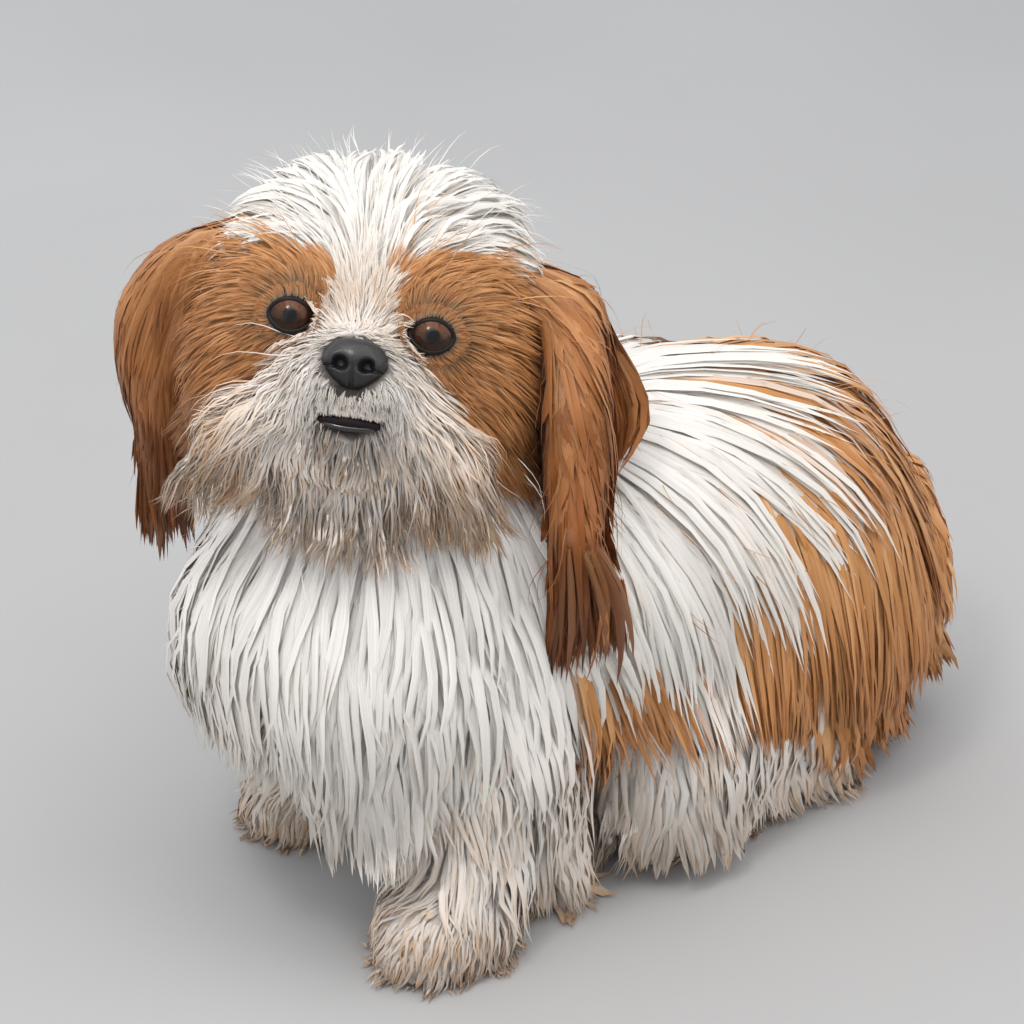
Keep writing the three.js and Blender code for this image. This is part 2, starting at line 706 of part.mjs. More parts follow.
const ball = (at, size, sides = 10) =>
  solid(
    new THREE.SphereGeometry(0.5, sides, Math.round(sides * 0.6))
      .scale(...size.toArray())
      .translate(...at.toArray())
      .applyMatrix4(HEAD_FRAME),
  );
const grown = (size, by) => size.clone().addScalar(2 * by);
const EYE_SIDES = { eye_left: 1, eye_right: -1 };
const eyeAt = (side, ahead = 0) => vec(side * EYE_OUT, -EYE_FRONT - ahead, 0);
const eye = (side, grow) => ball(eyeAt(side), grown(vec(2, 2, 2).multiplyScalar(EYE_R), grow));

// Lids are a shell round each eyeball, open in an oval to the front.
function lids(side, grow) {
  const shell = ball(eyeAt(side), grown(vec(2, 2, 2).multiplyScalar(EYE_R + LID), grow));
  return shell.subtract(ball(eyeAt(side, EYE_R + LID), grown(LID_OPENING, -grow)));
}

// The nose is broad above and narrow below, with a nostril at each side.
function nose(grow) {
  const size = grown(NOSE_SIZE, grow);
  const at = (x, ahead, z) => vec(x, -NOSE_FRONT - ahead, -NOSE_DOWN + z);
  const upper = ball(at(0, 0, 2), size.clone().multiply(vec(1, 1, 0.76)));
  const lower = ball(at(0, -1, -3), size.clone().multiply(vec(0.66, 0.9, 0.7)));
  if (grow) return upper.add(lower);
  const nostrils = SIDES.map((side) => ball(at(side * NOSTRIL_OUT, 6.4, 0.6), NOSTRIL, 8));
  return without(upper.add(lower), nostrils);
}

function features(name, grow) {
  if (name === "head") return SIDES.map((side) => lids(side, grow));
  if (name in LIPS) return [solid(wrapped(LIPS[name], 0, grow, WRAPS.lips))];
  return [];
}

// The cup of an ear: a hollow on its inner side, below the fold.
function cup(name) {
  const { swept } = EARS[name];
  const at = BODIES[name].axis.getPoint(0.45).addScaledVector(swept, -EAR_CUP.x);
  const [x, y, z] = at.toArray();
  const hollow = new THREE.SphereGeometry(0.5, 8, 6).scale(...EAR_CUP.toArray());
  return solid(hollow.rotateZ(Math.atan2(swept.y, swept.x)).translate(x, y, z));
}

// Each lock is drawn twice: as it is, and grown by the gap as a cutter for what lies under it.
function coated(name) {
  const body = BODIES[name];
  const core = blended(body.cones, body.blend, CORE_SHARE);
  const pieces = COATS[name].map((spec) => {
    const from = spec.from ?? body.axis.getPoint(spec.at);
    const out = spec.out.clone().normalize();
    const root = reach(core, from, out, -SINK);
    const path = lockPath(body, root, out, { ...spec, length: about(spec.length, VARIED) });
    return { path, width: about(spec.width, VARIED) };
  });
  const draw = (grow) => {
    const skin = solid(wrapped(body, CORE_SHARE, grow, WRAPS[name] ?? COARSE));
    const locks = pieces.map(({ path, width }) => lock(path, width, grow));
    return joined([skin, ...locks, ...features(name, grow)]);
  };
  const shape = draw(0);
  return { shape, cutter: draw(GAP).add(shape) };
}

// Each part is cut by those before it, so what lies outermost comes first.
const ORDER = ["head", "muzzle", "chin", "ear_left", "ear_right", "neck", "tail", "torso"];
ORDER.push(...PAWED.map((leg) => `${leg}_leg`), ...PAWED.map((leg) => `${leg}_paw`));
const COLOURS = {
  head: 0xd8a070,
  muzzle: 0xece6de,
  chin: 0xd9cbb8,
  ear_left: 0x9a5220,
  ear_right: 0x9a5220,
  neck: 0xe8e2da,
  torso_front: 0xe8e2da,
  torso_rear: 0xb86f30,
  tail: 0xc07830,
};
const WHITE_COAT = 0xe6dfd4;
const BLACK_SKIN = 0x1c1210;

// The floor cuts the underside flat where the dog sits and stands.
const BLOCK = 1200; // the side of a block that is larger than the dog
const floor = solid(new THREE.BoxGeometry(BLOCK, BLOCK, BLOCK).translate(0, 0, -BLOCK / 2));

const made = { nose: nose(0) };
const taken = [nose(GAP)];
for (const [name, side] of Object.entries(EYE_SIDES)) {
  made[name] = eye(side, 0);
  taken.push(eye(side, GAP));
}
for (const name of ORDER) {
  const { shape, cutter } = coated(name);
  made[name] = without(shape, [...taken, floor, ...(name in EARS ? [cup(name)] : [])]);
  taken.push(cutter);
}

const block = (y) => solid(new THREE.BoxGeometry(BLOCK, BLOCK, BLOCK).translate(0, y, 0));
const behind = block(TORSO_CUT + BLOCK / 2);
const ahead = block(TORSO_CUT - BLOCK / 2 + GAP);
made.torso_front = made.torso.subtract(behind);
made.torso_rear = made.torso.subtract(ahead);
delete made.torso;

const dog = new THREE.Group();
for (const [name, shape] of Object.entries(made)) {
  const dark = name === "nose" || name.startsWith("eye");
  const color = dark ? BLACK_SKIN : (COLOURS[name] ?? WHITE_COAT);
  const material = new THREE.MeshStandardMaterial({ color, roughness: dark ? 0.35 : 0.8, metalness: 0 });
  const mesh = new THREE.Mesh(seated(shape), material);
  mesh.name = name;
  dog.add(mesh);
}

export default dog;
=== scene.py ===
import math

import bmesh
import bpy
import numpy as np
from mathutils import Matrix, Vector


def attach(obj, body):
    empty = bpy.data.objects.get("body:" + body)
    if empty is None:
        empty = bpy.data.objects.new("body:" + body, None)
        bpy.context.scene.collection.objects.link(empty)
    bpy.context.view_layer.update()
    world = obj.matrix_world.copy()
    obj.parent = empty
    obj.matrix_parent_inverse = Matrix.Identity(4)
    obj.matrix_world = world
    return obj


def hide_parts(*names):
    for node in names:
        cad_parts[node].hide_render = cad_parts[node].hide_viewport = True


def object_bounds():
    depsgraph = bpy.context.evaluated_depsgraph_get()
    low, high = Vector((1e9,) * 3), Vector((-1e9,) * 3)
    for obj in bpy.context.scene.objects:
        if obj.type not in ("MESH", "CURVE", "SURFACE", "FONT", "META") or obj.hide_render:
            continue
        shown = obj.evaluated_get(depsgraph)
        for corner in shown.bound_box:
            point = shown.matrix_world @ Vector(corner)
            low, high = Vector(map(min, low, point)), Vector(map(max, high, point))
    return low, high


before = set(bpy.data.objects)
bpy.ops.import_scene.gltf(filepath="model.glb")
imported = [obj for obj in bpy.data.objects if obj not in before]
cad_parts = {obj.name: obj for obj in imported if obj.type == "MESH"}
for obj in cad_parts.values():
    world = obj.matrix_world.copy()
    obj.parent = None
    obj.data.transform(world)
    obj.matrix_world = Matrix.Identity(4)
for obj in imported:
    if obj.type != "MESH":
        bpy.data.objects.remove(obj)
solids_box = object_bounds()

# The hide: flesh and skin as one closed surface over the head, trunk, legs, tail and ear flaps.
# It is made of round cones, from joint to joint, that melt into each other. Each cone also says how deep
# the coat over it is, and the hide lies inside the solids by that depth.
SEAT = np.array([-0.012, 0.240, 0.0])  # from midway between the front paws
SKIN_SHARE = 0.3  # how far out of the coat's depth the hide lies, with the undercoat that is never seen
HIDE_VOXEL = 0.0027
DOWN = np.array([0.0, 0.0, -1.0])


def joint(x, y, z):
    """A joint of the skeleton, in millimetres from midway between the front paws."""
    return np.array([x, y, z]) / 1000 - SEAT


def turn(axis, degrees):
    c, s = math.cos(math.radians(degrees)), math.sin(math.radians(degrees))
    i, j = {"x": (1, 2), "y": (2, 0), "z": (0, 1)}[axis]
    matrix = np.eye(3)
    matrix[i, i] = matrix[j, j] = c
    matrix[i, j], matrix[j, i] = -s, s
    return matrix


HEAD_AT = joint(-23, 28, 283)
HEAD_TURN = turn("z", 54) @ turn("x", -31) @ turn("y", 8)


def on_head(x, y, z):
    """A point of the head in its own frame, in millimetres: x to the dog's left, y back, z up."""
    return HEAD_AT + HEAD_TURN @ (np.array([x, y, z]) / 1000)


def head_frame(points):
    return (points - HEAD_AT) @ HEAD_TURN * 1000


def cone(a, b, ra, rb, coat):
    """A round cone from a to b. Its radii and the depth of its coat are in millimetres."""
    return a, b, ra / 1000, rb / 1000, coat / 1000


def head_cone(a, b, ra, rb, coat):
    return cone(on_head(*a), on_head(*b), ra, rb, coat)


def both(a, b, ra, rb, coat):
    """A cone on the right of the head and its mirror image on the left."""
    return [head_cone((side * a[0], *a[1:]), (side * b[0], *b[1:]), ra, rb, coat) for side in (-1, 1)]


def unit(vectors):
    return vectors / np.maximum(np.linalg.norm(vectors, axis=-1, keepdims=True), 1e-9)


def step(value, start, end):
    """Rises smoothly from 0 at the start to 1 at the end."""
    t = np.clip((value - start) / (end - start), 0, 1)
    return t * t * (3 - 2 * t)


def field(points, bodies, share):
    """The distance of points from the bodies' surface, at that share of the coat's depth, and the way out."""
    distance = np.full(len(points), np.inf)
    out = np.zeros_like(points)
    for cones, blend in bodies:
        for a, b, ra, rb, coat in cones:
            along = b - a
            t = np.clip((points - a) @ along / max(along @ along, 1e-12), 0, 1)
            off = points - a - t[:, None] * along
            far = np.sqrt((off * off).sum(1)) + 1e-9
            d = far - ra - (rb - ra) * t - coat * share
            melt = np.maximum(blend - np.abs(distance - d), 0) / blend
            weight = np.where(d < distance, 1 - melt / 2, melt / 2)[:, None]
            out += (off / far[:, None] - out) * weight
            distance = np.minimum(distance, d) - melt * melt * blend / 4
    return distance, unit(out)


BREAST, RIBS, WITHERS = joint(-16, 12, 142), joint(-18, 84, 144), joint(-20, 46, 184)
LOIN, PELVIS, RUMP = joint(-16, 154, 148), joint(-13, 220, 130), joint(-12, 243, 80)
NECK_FOOT, NECK_TOP = joint(-20, 40, 186), joint(-23, 34, 238)
BODY_COAT, LEG_COAT, PAW_COAT, TAIL_COAT = 26, 16, 10, 15

TORSO = (
    [
        cone(BREAST, RIBS, 56, 60, BODY_COAT),
        cone(WITHERS, LOIN, 46, 54, BODY_COAT),
        cone(RIBS, LOIN, 60, 60, BODY_COAT),
        cone(LOIN, PELVIS, 60, 58, BODY_COAT),
        cone(PELVIS, RUMP, 58, 62, BODY_COAT + 3),
        cone(joint(-12, 243, 46), joint(-12, 243, 40), 46, 46, BODY_COAT),
    ],
    0.024,
)
NECK = ([cone(NECK_FOOT, NECK_TOP, 53, 47, BODY_COAT)], 0.020)
SKULL = (
    [
        head_cone((-8, 17, 8), (8, 17, 8), 41, 41, 32),
        head_cone((-22, -16, -5), (22, -16, -5), 33, 33, 2),
        head_cone((-36, 6, -18), (36, 6, -18), 23, 23, 24),
    ],
    0.014,
)
MUZZLE = (
    [
        *both((11, -34, -26), (9, -56, -25), 20, 14, 3),
        head_cone((0, -40, -12), (0, -56, -15), 15, 13, 1),
        *both((10, -44, -28), (50, -36, -53), 6, 1, 16),
    ],
    0.010,
)
CHIN = (
    [
        *both((12, -24, -44), (5, -52, -42), 13, 8, 4),
        *both((14, -30, -48), (15, -32, -64), 5, 2, 12),
        head_cone((0, -34, -50), (0, -36, -66), 4, 1, 10),
    ],
    0.010,
)


def front_leg(shoulder, elbow, wrist, paw, toes):
    feather = elbow + np.array([0.006, 0.030, -0.074])
    leg = [
        cone(shoulder, elbow, 30, 23, LEG_COAT),
        cone(elbow, wrist, 23, 15, LEG_COAT),
        cone(elbow, feather, 16, 4, LEG_COAT + 4),
    ]
    return (leg, 0.012), ([cone(wrist, paw, 16, 21, PAW_COAT), cone(paw, toes, 23, 19, PAW_COAT)], 0.008)


def hind_leg(side):
    hip, knee = joint(side * 32 - 12, 212, 88), joint(side * 48 - 12, 150, 58)
    hock = joint(side * 44 - 12, 236, 22)
    ball, toes = joint(side * 50 - 12, 174, 16), joint(side * 50 - 12, 154, 13)
    leg = [cone(hip, knee, 42, 28, LEG_COAT), cone(knee, hock, 26, 14, LEG_COAT)]
    return (leg, 0.014), ([cone(hock, ball, 14, 15, PAW_COAT), cone(ball, toes, 17, 14, PAW_COAT)], 0.008)


FRONT_LEFT = front_leg(
    joint(24, 34, 138), joint(34, 52, 92), joint(42, 32, 38), joint(47, 20, 18), joint(50, 6, 15)
)
FRONT_RIGHT = front_leg(
    joint(-60, 34, 138), joint(-76, 54, 94), joint(-78, 36, 38), joint(-79, 26, 18), joint(-77, 13, 14)
)
HIND_LEFT, HIND_RIGHT = hind_leg(1), hind_leg(-1)
TAIL_POINTS = [(-12, 266, 114), (-10, 290, 131), (2, 309, 120), (14, 315, 92), (24, 310, 62)]
TAIL_LINE = [joint(*point) for point in TAIL_POINTS]
TAIL_LENGTHS = enumerate(zip(TAIL_LINE, TAIL_LINE[1:]))
TAIL = ([cone(a, b, 11 - i, 10 - i, TAIL_COAT) for i, (a, b) in TAIL_LENGTHS], 0.008)
LEGS = [FRONT_LEFT[0], FRONT_RIGHT[0], HIND_LEFT[0], HIND_RIGHT[0]]
PAWS = [FRONT_LEFT[1], FRONT_RIGHT[1], HIND_LEFT[1], HIND_RIGHT[1]]
HEAD = [SKULL, MUZZLE, CHIN]
TRUNK = [TORSO, NECK, *LEGS, *PAWS]

EAR_LEATHER = 6  # half the thickness of the folded flap at its root, in millimetres
EAR_WIDTH = 32
EAR_STEPS = 6


def ear(side, out, length):
    """An ear's leather hangs from its fold like hair, swept aside until it is clear of the coat under it."""
    aside = np.array([side * 0.84, -0.54, 0.0]) / 1000
    root, fold = on_head(side * 50, 8, 30), on_head(side * out, 4, 22)
    flap, pace = [fold], length / 1000 / EAR_STEPS
    while len(flap) < EAR_STEPS - 1:
        p = flap[-1] + DOWN * pace
        while min(field(p[None], [body], 1.0)[0][0] for body in (NECK, TORSO, SKULL)) < EAR_WIDTH / 2000:
            p = p + aside
        flap.append(flap[-1] + unit(p - flap[-1]) * pace)
    hair = EAR_WIDTH / 2 - EAR_LEATHER
    cones = [cone(a, b, EAR_LEATHER, EAR_LEATHER - 0.5, hair) for a, b in zip(flap, flap[1:])]
    return [cone(root, fold, 8, EAR_LEATHER, hair), *cones], 0.010


EARS = [ear(1, 84, 152), ear(-1, 71, 138)]
EAR_LEFT, EAR_RIGHT = EARS
REGIONS = {"skull": [SKULL], "muzzle": [MUZZLE], "chin": [CHIN], "neck": [NECK], "torso": [TORSO]}
REGIONS.update({"legs": LEGS, "paws": PAWS, "tail": [TAIL], "ear_left": [EAR_LEFT], "ear_right": [EAR_RIGHT]})
EVERY_BODY = [*HEAD, *TRUNK, TAIL, *EARS]


def round_cones(bodies, share):
    """The rough hulls of the cones, as one mesh of overlapping closed shapes."""
    form = bmesh.new()
    bmesh.ops.create_icosphere(form, subdivisions=2, radius=1)
    ball = np.array([v.co[:] for v in form.verts])
    form.free()
    made = bmesh.new()
    for a, b, ra, rb, coat in [c for cones, _ in bodies for c in cones]:
        hull = bmesh.new()
        for centre, radius in ((a, ra), (b, rb)):
            for p in centre + ball * (radius + coat * share):
                hull.verts.new(p)
        bmesh.ops.convex_hull(hull, input=hull.verts)
        loose = [v for v in hull.verts if not v.link_faces]
        bmesh.ops.delete(hull, geom=loose, context="VERTS")
        piece = bpy.data.meshes.new("hull")
        hull.to_mesh(piece)
        hull.free()
        made.from_mesh(piece)
        bpy.data.meshes.remove(piece)
    mesh = bpy.data.meshes.new("hide")
    made.to_mesh(mesh)
    made.free()
    return mesh


def shown(name, mesh):
    thing = bpy.data.objects.new(name, mesh)
    bpy.context.scene.collection.objects.link(thing)
    return thing


def plain_mesh(thing):
    """Turns what an object's modifiers make into its own mesh."""
    mesh = bpy.data.meshes.new_from_object(thing.evaluated_get(bpy.context.evaluated_depsgraph_get()))
    thing.modifiers.clear()
    thing.data = mesh
    mesh.name = thing.name
    return mesh


hide = shown("hide", round_cones(EVERY_BODY, SKIN_SHARE))
remesh = hide.modifiers.new("one surface", "REMESH")
remesh.mode = "VOXEL"
remesh.voxel_size = HIDE_VOXEL
hide_mesh = plain_mesh(hide)


def vertices_of(mesh):
    co = np.zeros(len(mesh.vertices) * 3)
    mesh.vertices.foreach_get("co", co)
    return co.reshape(-1, 3)


SETTLE_PASSES, SETTLE_MOST = 5, 0.004  # metres in one pass


def settle(points, bodies, share):
    """Moves points along the way out until they lie on the surface of the bodies."""
    for _ in range(SETTLE_PASSES):
        distance, out = field(points, bodies, share)
        points = points - out * np.clip(distance, -SETTLE_MOST, SETTLE_MOST)[:, None]
    return points


hide_points = settle(vertices_of(hide_mesh), EVERY_BODY, SKIN_SHARE)

# The face in the hide: the sockets round the eyes, the stop between them, the fold under each eye
# and the seats of the nose and the mouth. All are pressed into the same surface.
EYE_R = 0.011
EYES = {side: on_head(side * 29.3, -45, 0) for side in (1, -1)}
NOSE_AT = (1, -66, -17)
FORWARD = HEAD_TURN @ np.array([0.0, -1.0, 0.0])
HIDE_LOWEST = 0.0035
# The middle of each form on the head, its radius, and how far it stands forward
BY_THE_EYES = [((29, -50, 0), 0.014, -0.004), ((26, -44, 20), 0.020, 0.003), ((30, -46, -17), 0.014, 0.002)]
IN_THE_MIDDLE = [
    ((0, -50, 2), 0.012, -0.002), ((1, -70, -18), 0.0165, -0.011), ((2, -66, -42), 0.010, -0.005),
]
sockets = [((side * x, y, z), radius, depth) for side in (1, -1) for (x, y, z), radius, depth in BY_THE_EYES]
for centre, radius, depth in sockets + IN_THE_MIDDLE:
    near = 1 - np.linalg.norm(hide_points - on_head(*centre), axis=1) / radius
    hide_points = hide_points + (step(near, 0, 1) * depth)[:, None] * FORWARD
hide_points[:, 2] = np.maximum(hide_points[:, 2], HIDE_LOWEST)
hide_mesh.vertices.foreach_set("co", hide_points.ravel())
hide_mesh.shade_smooth()

# The unwrap of the hide, on which every tuft also keeps the place of its root
bpy.context.view_layer.objects.active = hide
hide.select_set(True)
bpy.ops.object.mode_set(mode="EDIT")
bpy.ops.mesh.select_all(action="SELECT")
bpy.ops.uv.smart_project(angle_limit=math.radians(60), island_margin=0.002)
bpy.ops.object.mode_set(mode="OBJECT")
hide_mesh.uv_layers.active.name = "OFBake"

hide_mesh.calc_loop_triangles()
triangle_count = len(hide_mesh.loop_triangles)
corner = np.zeros(triangle_count * 3, np.int32)
hide_mesh.loop_triangles.foreach_get("vertices", corner)
hide_corners = hide_points[corner.reshape(-1, 3)]
hide_mesh.loop_triangles.foreach_get("loops", corner)
hide_uv = np.zeros(len(hide_mesh.loops) * 2)
hide_mesh.uv_layers["OFBake"].uv.foreach_get("vector", hide_uv)
hide_uv = hide_uv.reshape(-1, 2)[corner.reshape(-1, 3)]
hide_centres = hide_corners.mean(1)
hide_cross = np.cross(hide_corners[:, 1] - hide_corners[:, 0], hide_corners[:, 2] - hide_corners[:, 0])
hide_areas = np.linalg.norm(hide_cross, axis=1) / 2
hide_normals = unit(hide_cross)


def region_of(points):
    """Which part of the body each point is on."""
    distances = [field(points, bodies, SKIN_SHARE)[0] for bodies in REGIONS.values()]
    return np.array(list(REGIONS))[np.argmin(distances, axis=0)]


hide_regions = region_of(hide_centres)

# The markings: white with a red-gold mask, ears, saddle and tail. The blaze between the eyes, the crown, the
# muzzle, the chest, a sash over the shoulders and the feet are white. Hide and coat have them alike.
RIPPLES = [(1, 0.4, -0.3), (-0.5, 1, 0.4), (0.3, -0.5, 1), (0.8, 0.9, 0.7), (-1.1, 0.6, -0.9)]


def ripple(points, size, seed=0.0):
    """A smooth uneven field of about -1 to 1, with lumps of that size in metres."""
    waves = [points @ np.array(way) * 2.6 / size + 1.7 * i + seed * (i + 1) for i, way in enumerate(RIPPLES)]
    return sum(np.sin(wave) for wave in waves) / 3


def to_eyes(points):
    """The distance of points from the nearer eye."""
    return np.min([np.linalg.norm(points - EYES[side], axis=1) for side in (1, -1)], axis=0)


def head_red(points):
    x, y, z = head_frame(points).T
    right = step(-x, 5, 20)
    x = np.abs(x) + 2.5 * ripple(points, 0.012)
    blaze = step(x, 9 + 2 * right, 13 + 2 * right)
    crown = step(17 + (0.5 - 0.25 * right) * np.minimum(x, 50) - z, -4, 4)
    crown = np.maximum(crown, step(x, 56, 62))
    crown = np.maximum(crown, step(y, 30, 44) * step(x, 10, 16))
    lower = 9 + 1.3 * np.clip(1 - z, 0, 15) + 0.35 * np.clip(-14 - z, 0, 60)
    return blaze * crown * step(x, lower - 2, lower + 4)


def trunk_red(points):
    """The saddle begins further back along the spine than on the side, and ends above the white belly."""
    x, y, z = (points * 1000).T
    uneven = 8 * ripple(points, 0.045) + 5 * ripple(points, 0.012, 2.0)
    border = -130 + 24 * step(z, 210, 236)
    saddle = 0.5 + 0.5 * step(y + uneven, border + 10, border + 42)
    saddle = saddle * step(y + uneven, border - 6, border + 6)
    shoulder = np.hypot((x - 62) * 0.8, (y + 152) * 0.9, (z - 196) * 0.7)
    patch = 0.8 * (1 - step(shoulder + uneven * 0.6, 16, 26))
    belly = 104 - 96 * step(y, -50, 30)
    return np.maximum(saddle, patch * (x > 0)) * step(z + 0.5 * uneven, belly - 8, belly + 8)


def marks_of(points, regions):
    """Red, tan and dark at each point, from 0 to 1. Tan stains white hair, and makes red hair deeper. Round
    the eyes, tan and dark are partly painted shade.
    """
    marks = np.zeros((len(points), 3))
    red, tan, dark = marks.T
    face, tail, torso = [regions == region for region in ("skull", "tail", "torso")]
    snout, legs = np.isin(regions, ["muzzle", "chin"]), np.isin(regions, ["legs", "paws"])
    ears = np.isin(regions, ["ear_left", "ear_right"])
    saddle = torso | ((regions == "legs") & (points[:, 1] > -0.12))
    x, y, z = head_frame(points).T
    red[face] = head_red(points[face])
    red[ears] = 1
    red[saddle] = trunk_red(points[saddle])
    red[tail] = step(points[tail, 2], 0.050, 0.062)
    # Painted shade round the deep-set eyes, given as tan.
    eye_shade_painted = 0.5 * (1 - step(np.abs(np.abs(x) - 30) + np.abs(z + 4), 12, 22))
    tan[face] = np.maximum(eye_shade_painted, 0.4 * (1 - step(z, 4, 26)))[face]
    tan[ears] = 0.7 + 0.3 * step(-z[ears], -25, 30)
    tan[legs] = 0.25 + 0.4 * (1 - step(points[legs, 2], 0.01, 0.07))
    tan[torso] = 0.08 + 0.3 * (1 - step(points[torso, 2], 0.06, 0.14))
    tan[snout] = (0.15 + 0.6 * step(np.hypot(x, z + 28), 16, 40))[snout]
    tan[regions == "chin"] = 0.45
    mouth = np.hypot((x - 2) / 16, (z + 36) / 13) + 0.15 * ripple(points, 0.006)
    nose = np.hypot((x - 1) / 17, (z + 17) / 13)
    stain = np.maximum(1 - step(mouth, 0.75, 1.3), 0.9 * (1 - step(nose, 0.85, 1.0))) * (y < -46)
    dark[snout] = stain[snout]
    eye = to_eyes(points)[face]
    # Dark hair at the lids, and a fainter painted shade further out round each eye.
    dark[face] = np.maximum(0.9 * (1 - step(eye, 0.0116, 0.0145)), 0.4 * (1 - step(eye, 0.0140, 0.0215)))
    return marks


def set_colours(mesh, name, values):
    layer = mesh.color_attributes.new(name, "FLOAT_COLOR", "POINT")
    layer.data.foreach_set("color", values.astype(np.float32).ravel())


hide_marks = marks_of(hide_points, region_of(hide_points))
set_colours(hide_mesh, "coat", np.column_stack([hide_marks, np.full(len(hide_points), 0.5)]))


def nodes_of(name):
    material = bpy.data.materials.new(name)
    material.use_nodes = True
    tree = material.node_tree
    return material, tree, tree.nodes["Principled BSDF"]


def fill(tree, node, inputs):
    """Gives a node its inputs, as values or as the sockets that feed them."""
    for key, value in dict(inputs).items():
        if isinstance(value, bpy.types.NodeSocket):
            tree.links.new(value, node.inputs[key])
        else:
            node.inputs[key].default_value = value


def add(tree, kind, settings=(), inputs=()):
    node = tree.nodes.new(kind)
    for key, value in dict(settings).items():
        setattr(node, key, value)
    fill(tree, node, inputs)
    return node


def mixed(tree, amount, first, second, blend="MIX"):
    settings = {"data_type": "RGBA", "blend_type": blend}
    return add(tree, "ShaderNodeMix", settings, {0: amount, 6: first, 7: second}).outputs[2]


def maths(tree, operation, *values):
    return add(tree, "ShaderNodeMath", {"operation": operation}, dict(enumerate(values))).outputs[0]


def times(tree, first, second):
    return maths(tree, "MULTIPLY", first, second)


def ranged(tree, value, low, high, to_low=0.0, to_high=1.0):
    inputs = {0: value, 1: low, 2: high, 3: to_low, 4: to_high}
    return add(tree, "ShaderNodeMapRange", {"clamp": True}, inputs).outputs[0]


def vector(tree, *parts):
    return add(tree, "ShaderNodeCombineXYZ", (), dict(enumerate(parts))).outputs[0]


def noise(tree, place, scale, detail=3.0):
    return add(tree, "ShaderNodeTexNoise", (), {"Vector": place, "Scale": scale, "Detail": detail}).outputs[0]


def relief(tree, height, strength, distance):
    inputs = {"Strength": strength, "Distance": distance, "Height": height}
    return add(tree, "ShaderNodeBump", (), inputs).outputs[0]


def object_place(tree):
    return add(tree, "ShaderNodeTexCoord").outputs["Object"]


def kept_at_points(tree, name):
    return add(tree, "ShaderNodeAttribute", {"attribute_type": "GEOMETRY", "attribute_name": name}).outputs


def channels(tree, colour):
    return add(tree, "ShaderNodeSeparateColor", (), {0: colour}).outputs


WHITE_ROOT, WHITE_TIP = (0.83, 0.795, 0.75, 1), (0.83, 0.785, 0.715, 1)
# Red hair is painted paler at its roots and deeper at its tips: painted light on top of the coat and painted
# shade lower down.
RED_ROOT_LIT, RED_MIDDLE, RED_TIP_SHADED = (0.76, 0.47, 0.24, 1), (0.62, 0.28, 0.09, 1), (0.42, 0.14, 0.03, 1)
# Pale golden streaks: partly the hair's own, partly painted highlight.
RED_HIGHLIGHT_STREAK = (0.88, 0.62, 0.36, 1)
RED_DEEP = (0.25, 0.066, 0.010, 1)  # of the ears
TAN = (0.58, 0.36, 0.20, 1)
DARK = (0.028, 0.019, 0.014, 1)


def pigment_group():
    """The colour of hair from its markings, the way along it and its own chance. Red hair is painted paler at
    its roots and deeper at its tips, as light on top of the coat and shade below it, with pale golden streaks
    that are partly painted highlight.
    """
    tree = bpy.data.node_groups.new("hair pigment", "ShaderNodeTree")
    given = (("Marks", "Color"), ("Chance", "Float"), ("Lie", "Vector"), ("Strands", "Float"))
    made = (("Color", "Color"), ("Height", "Float"), ("Roughness", "Float"))
    for way, names in (("INPUT", given), ("OUTPUT", made)):
        for name, kind in names:
            tree.interface.new_socket(name, in_out=way, socket_type=f"NodeSocket{kind}")
    given = add(tree, "NodeGroupInput").outputs
    marks = channels(tree, given["Marks"])
    lie = add(tree, "ShaderNodeSeparateXYZ", (), {0: given["Lie"]}).outputs
    along = lie[1]
    place = vector(tree, times(tree, lie[0], given["Strands"]), along, times(tree, given["Chance"], 61.0))
    fine = ranged(tree, noise(tree, place, 1.6, 2.0), 0.3, 0.7)
    chance = maths(tree, "FRACT", times(tree, given["Chance"], 37.7))
    # Painted light and shade: red hair is paler at its roots, which lie high on the coat, and deeper towards
    # its tips.
    red = mixed(tree, ranged(tree, along, 0.05, 0.45), RED_ROOT_LIT, RED_MIDDLE)
    red = mixed(tree, ranged(tree, along, 0.55, 1.0, 0.0, 0.75), red, RED_TIP_SHADED)
    # Pale golden streaks at random, most towards the roots: partly the hair's own streaks, partly painted
    # highlight.
    pale = times(tree, times(tree, chance, fine), ranged(tree, along, 0.3, 1.0, 0.62, 0.25))
    red = mixed(tree, pale, red, RED_HIGHLIGHT_STREAK)
    red = mixed(tree, times(tree, marks[1], ranged(tree, chance, 0.0, 1.0, 1.0, 0.7)), red, RED_DEEP)
    white = mixed(tree, ranged(tree, along, 0.3, 1.0), WHITE_ROOT, WHITE_TIP)
    tanned = times(tree, marks[1], ranged(tree, along, 0.25, 0.9, 0.35, 1.6))
    tanned = maths(tree, "MINIMUM", times(tree, tanned, maths(tree, "ADD", chance, 0.3)), 0.9)
    colour = mixed(tree, marks[0], mixed(tree, tanned, white, TAN), red)
    colour = mixed(tree, marks[2], colour, DARK)
    tone = times(tree, ranged(tree, fine, 0.0, 1.0, 0.80, 1.05), ranged(tree, chance, 0.0, 1.0, 0.90, 1.03))
    grey = add(tree, "ShaderNodeCombineColor", (), dict.fromkeys(range(3), tone)).outputs[0]
    colour = mixed(tree, 1.0, colour, grey, "MULTIPLY")
    rough = ranged(tree, fine, 0.0, 1.0, 0.62, 0.42)
    add(tree, "NodeGroupOutput", (), {"Color": colour, "Height": fine, "Roughness": rough})
    return tree


pigment = pigment_group()


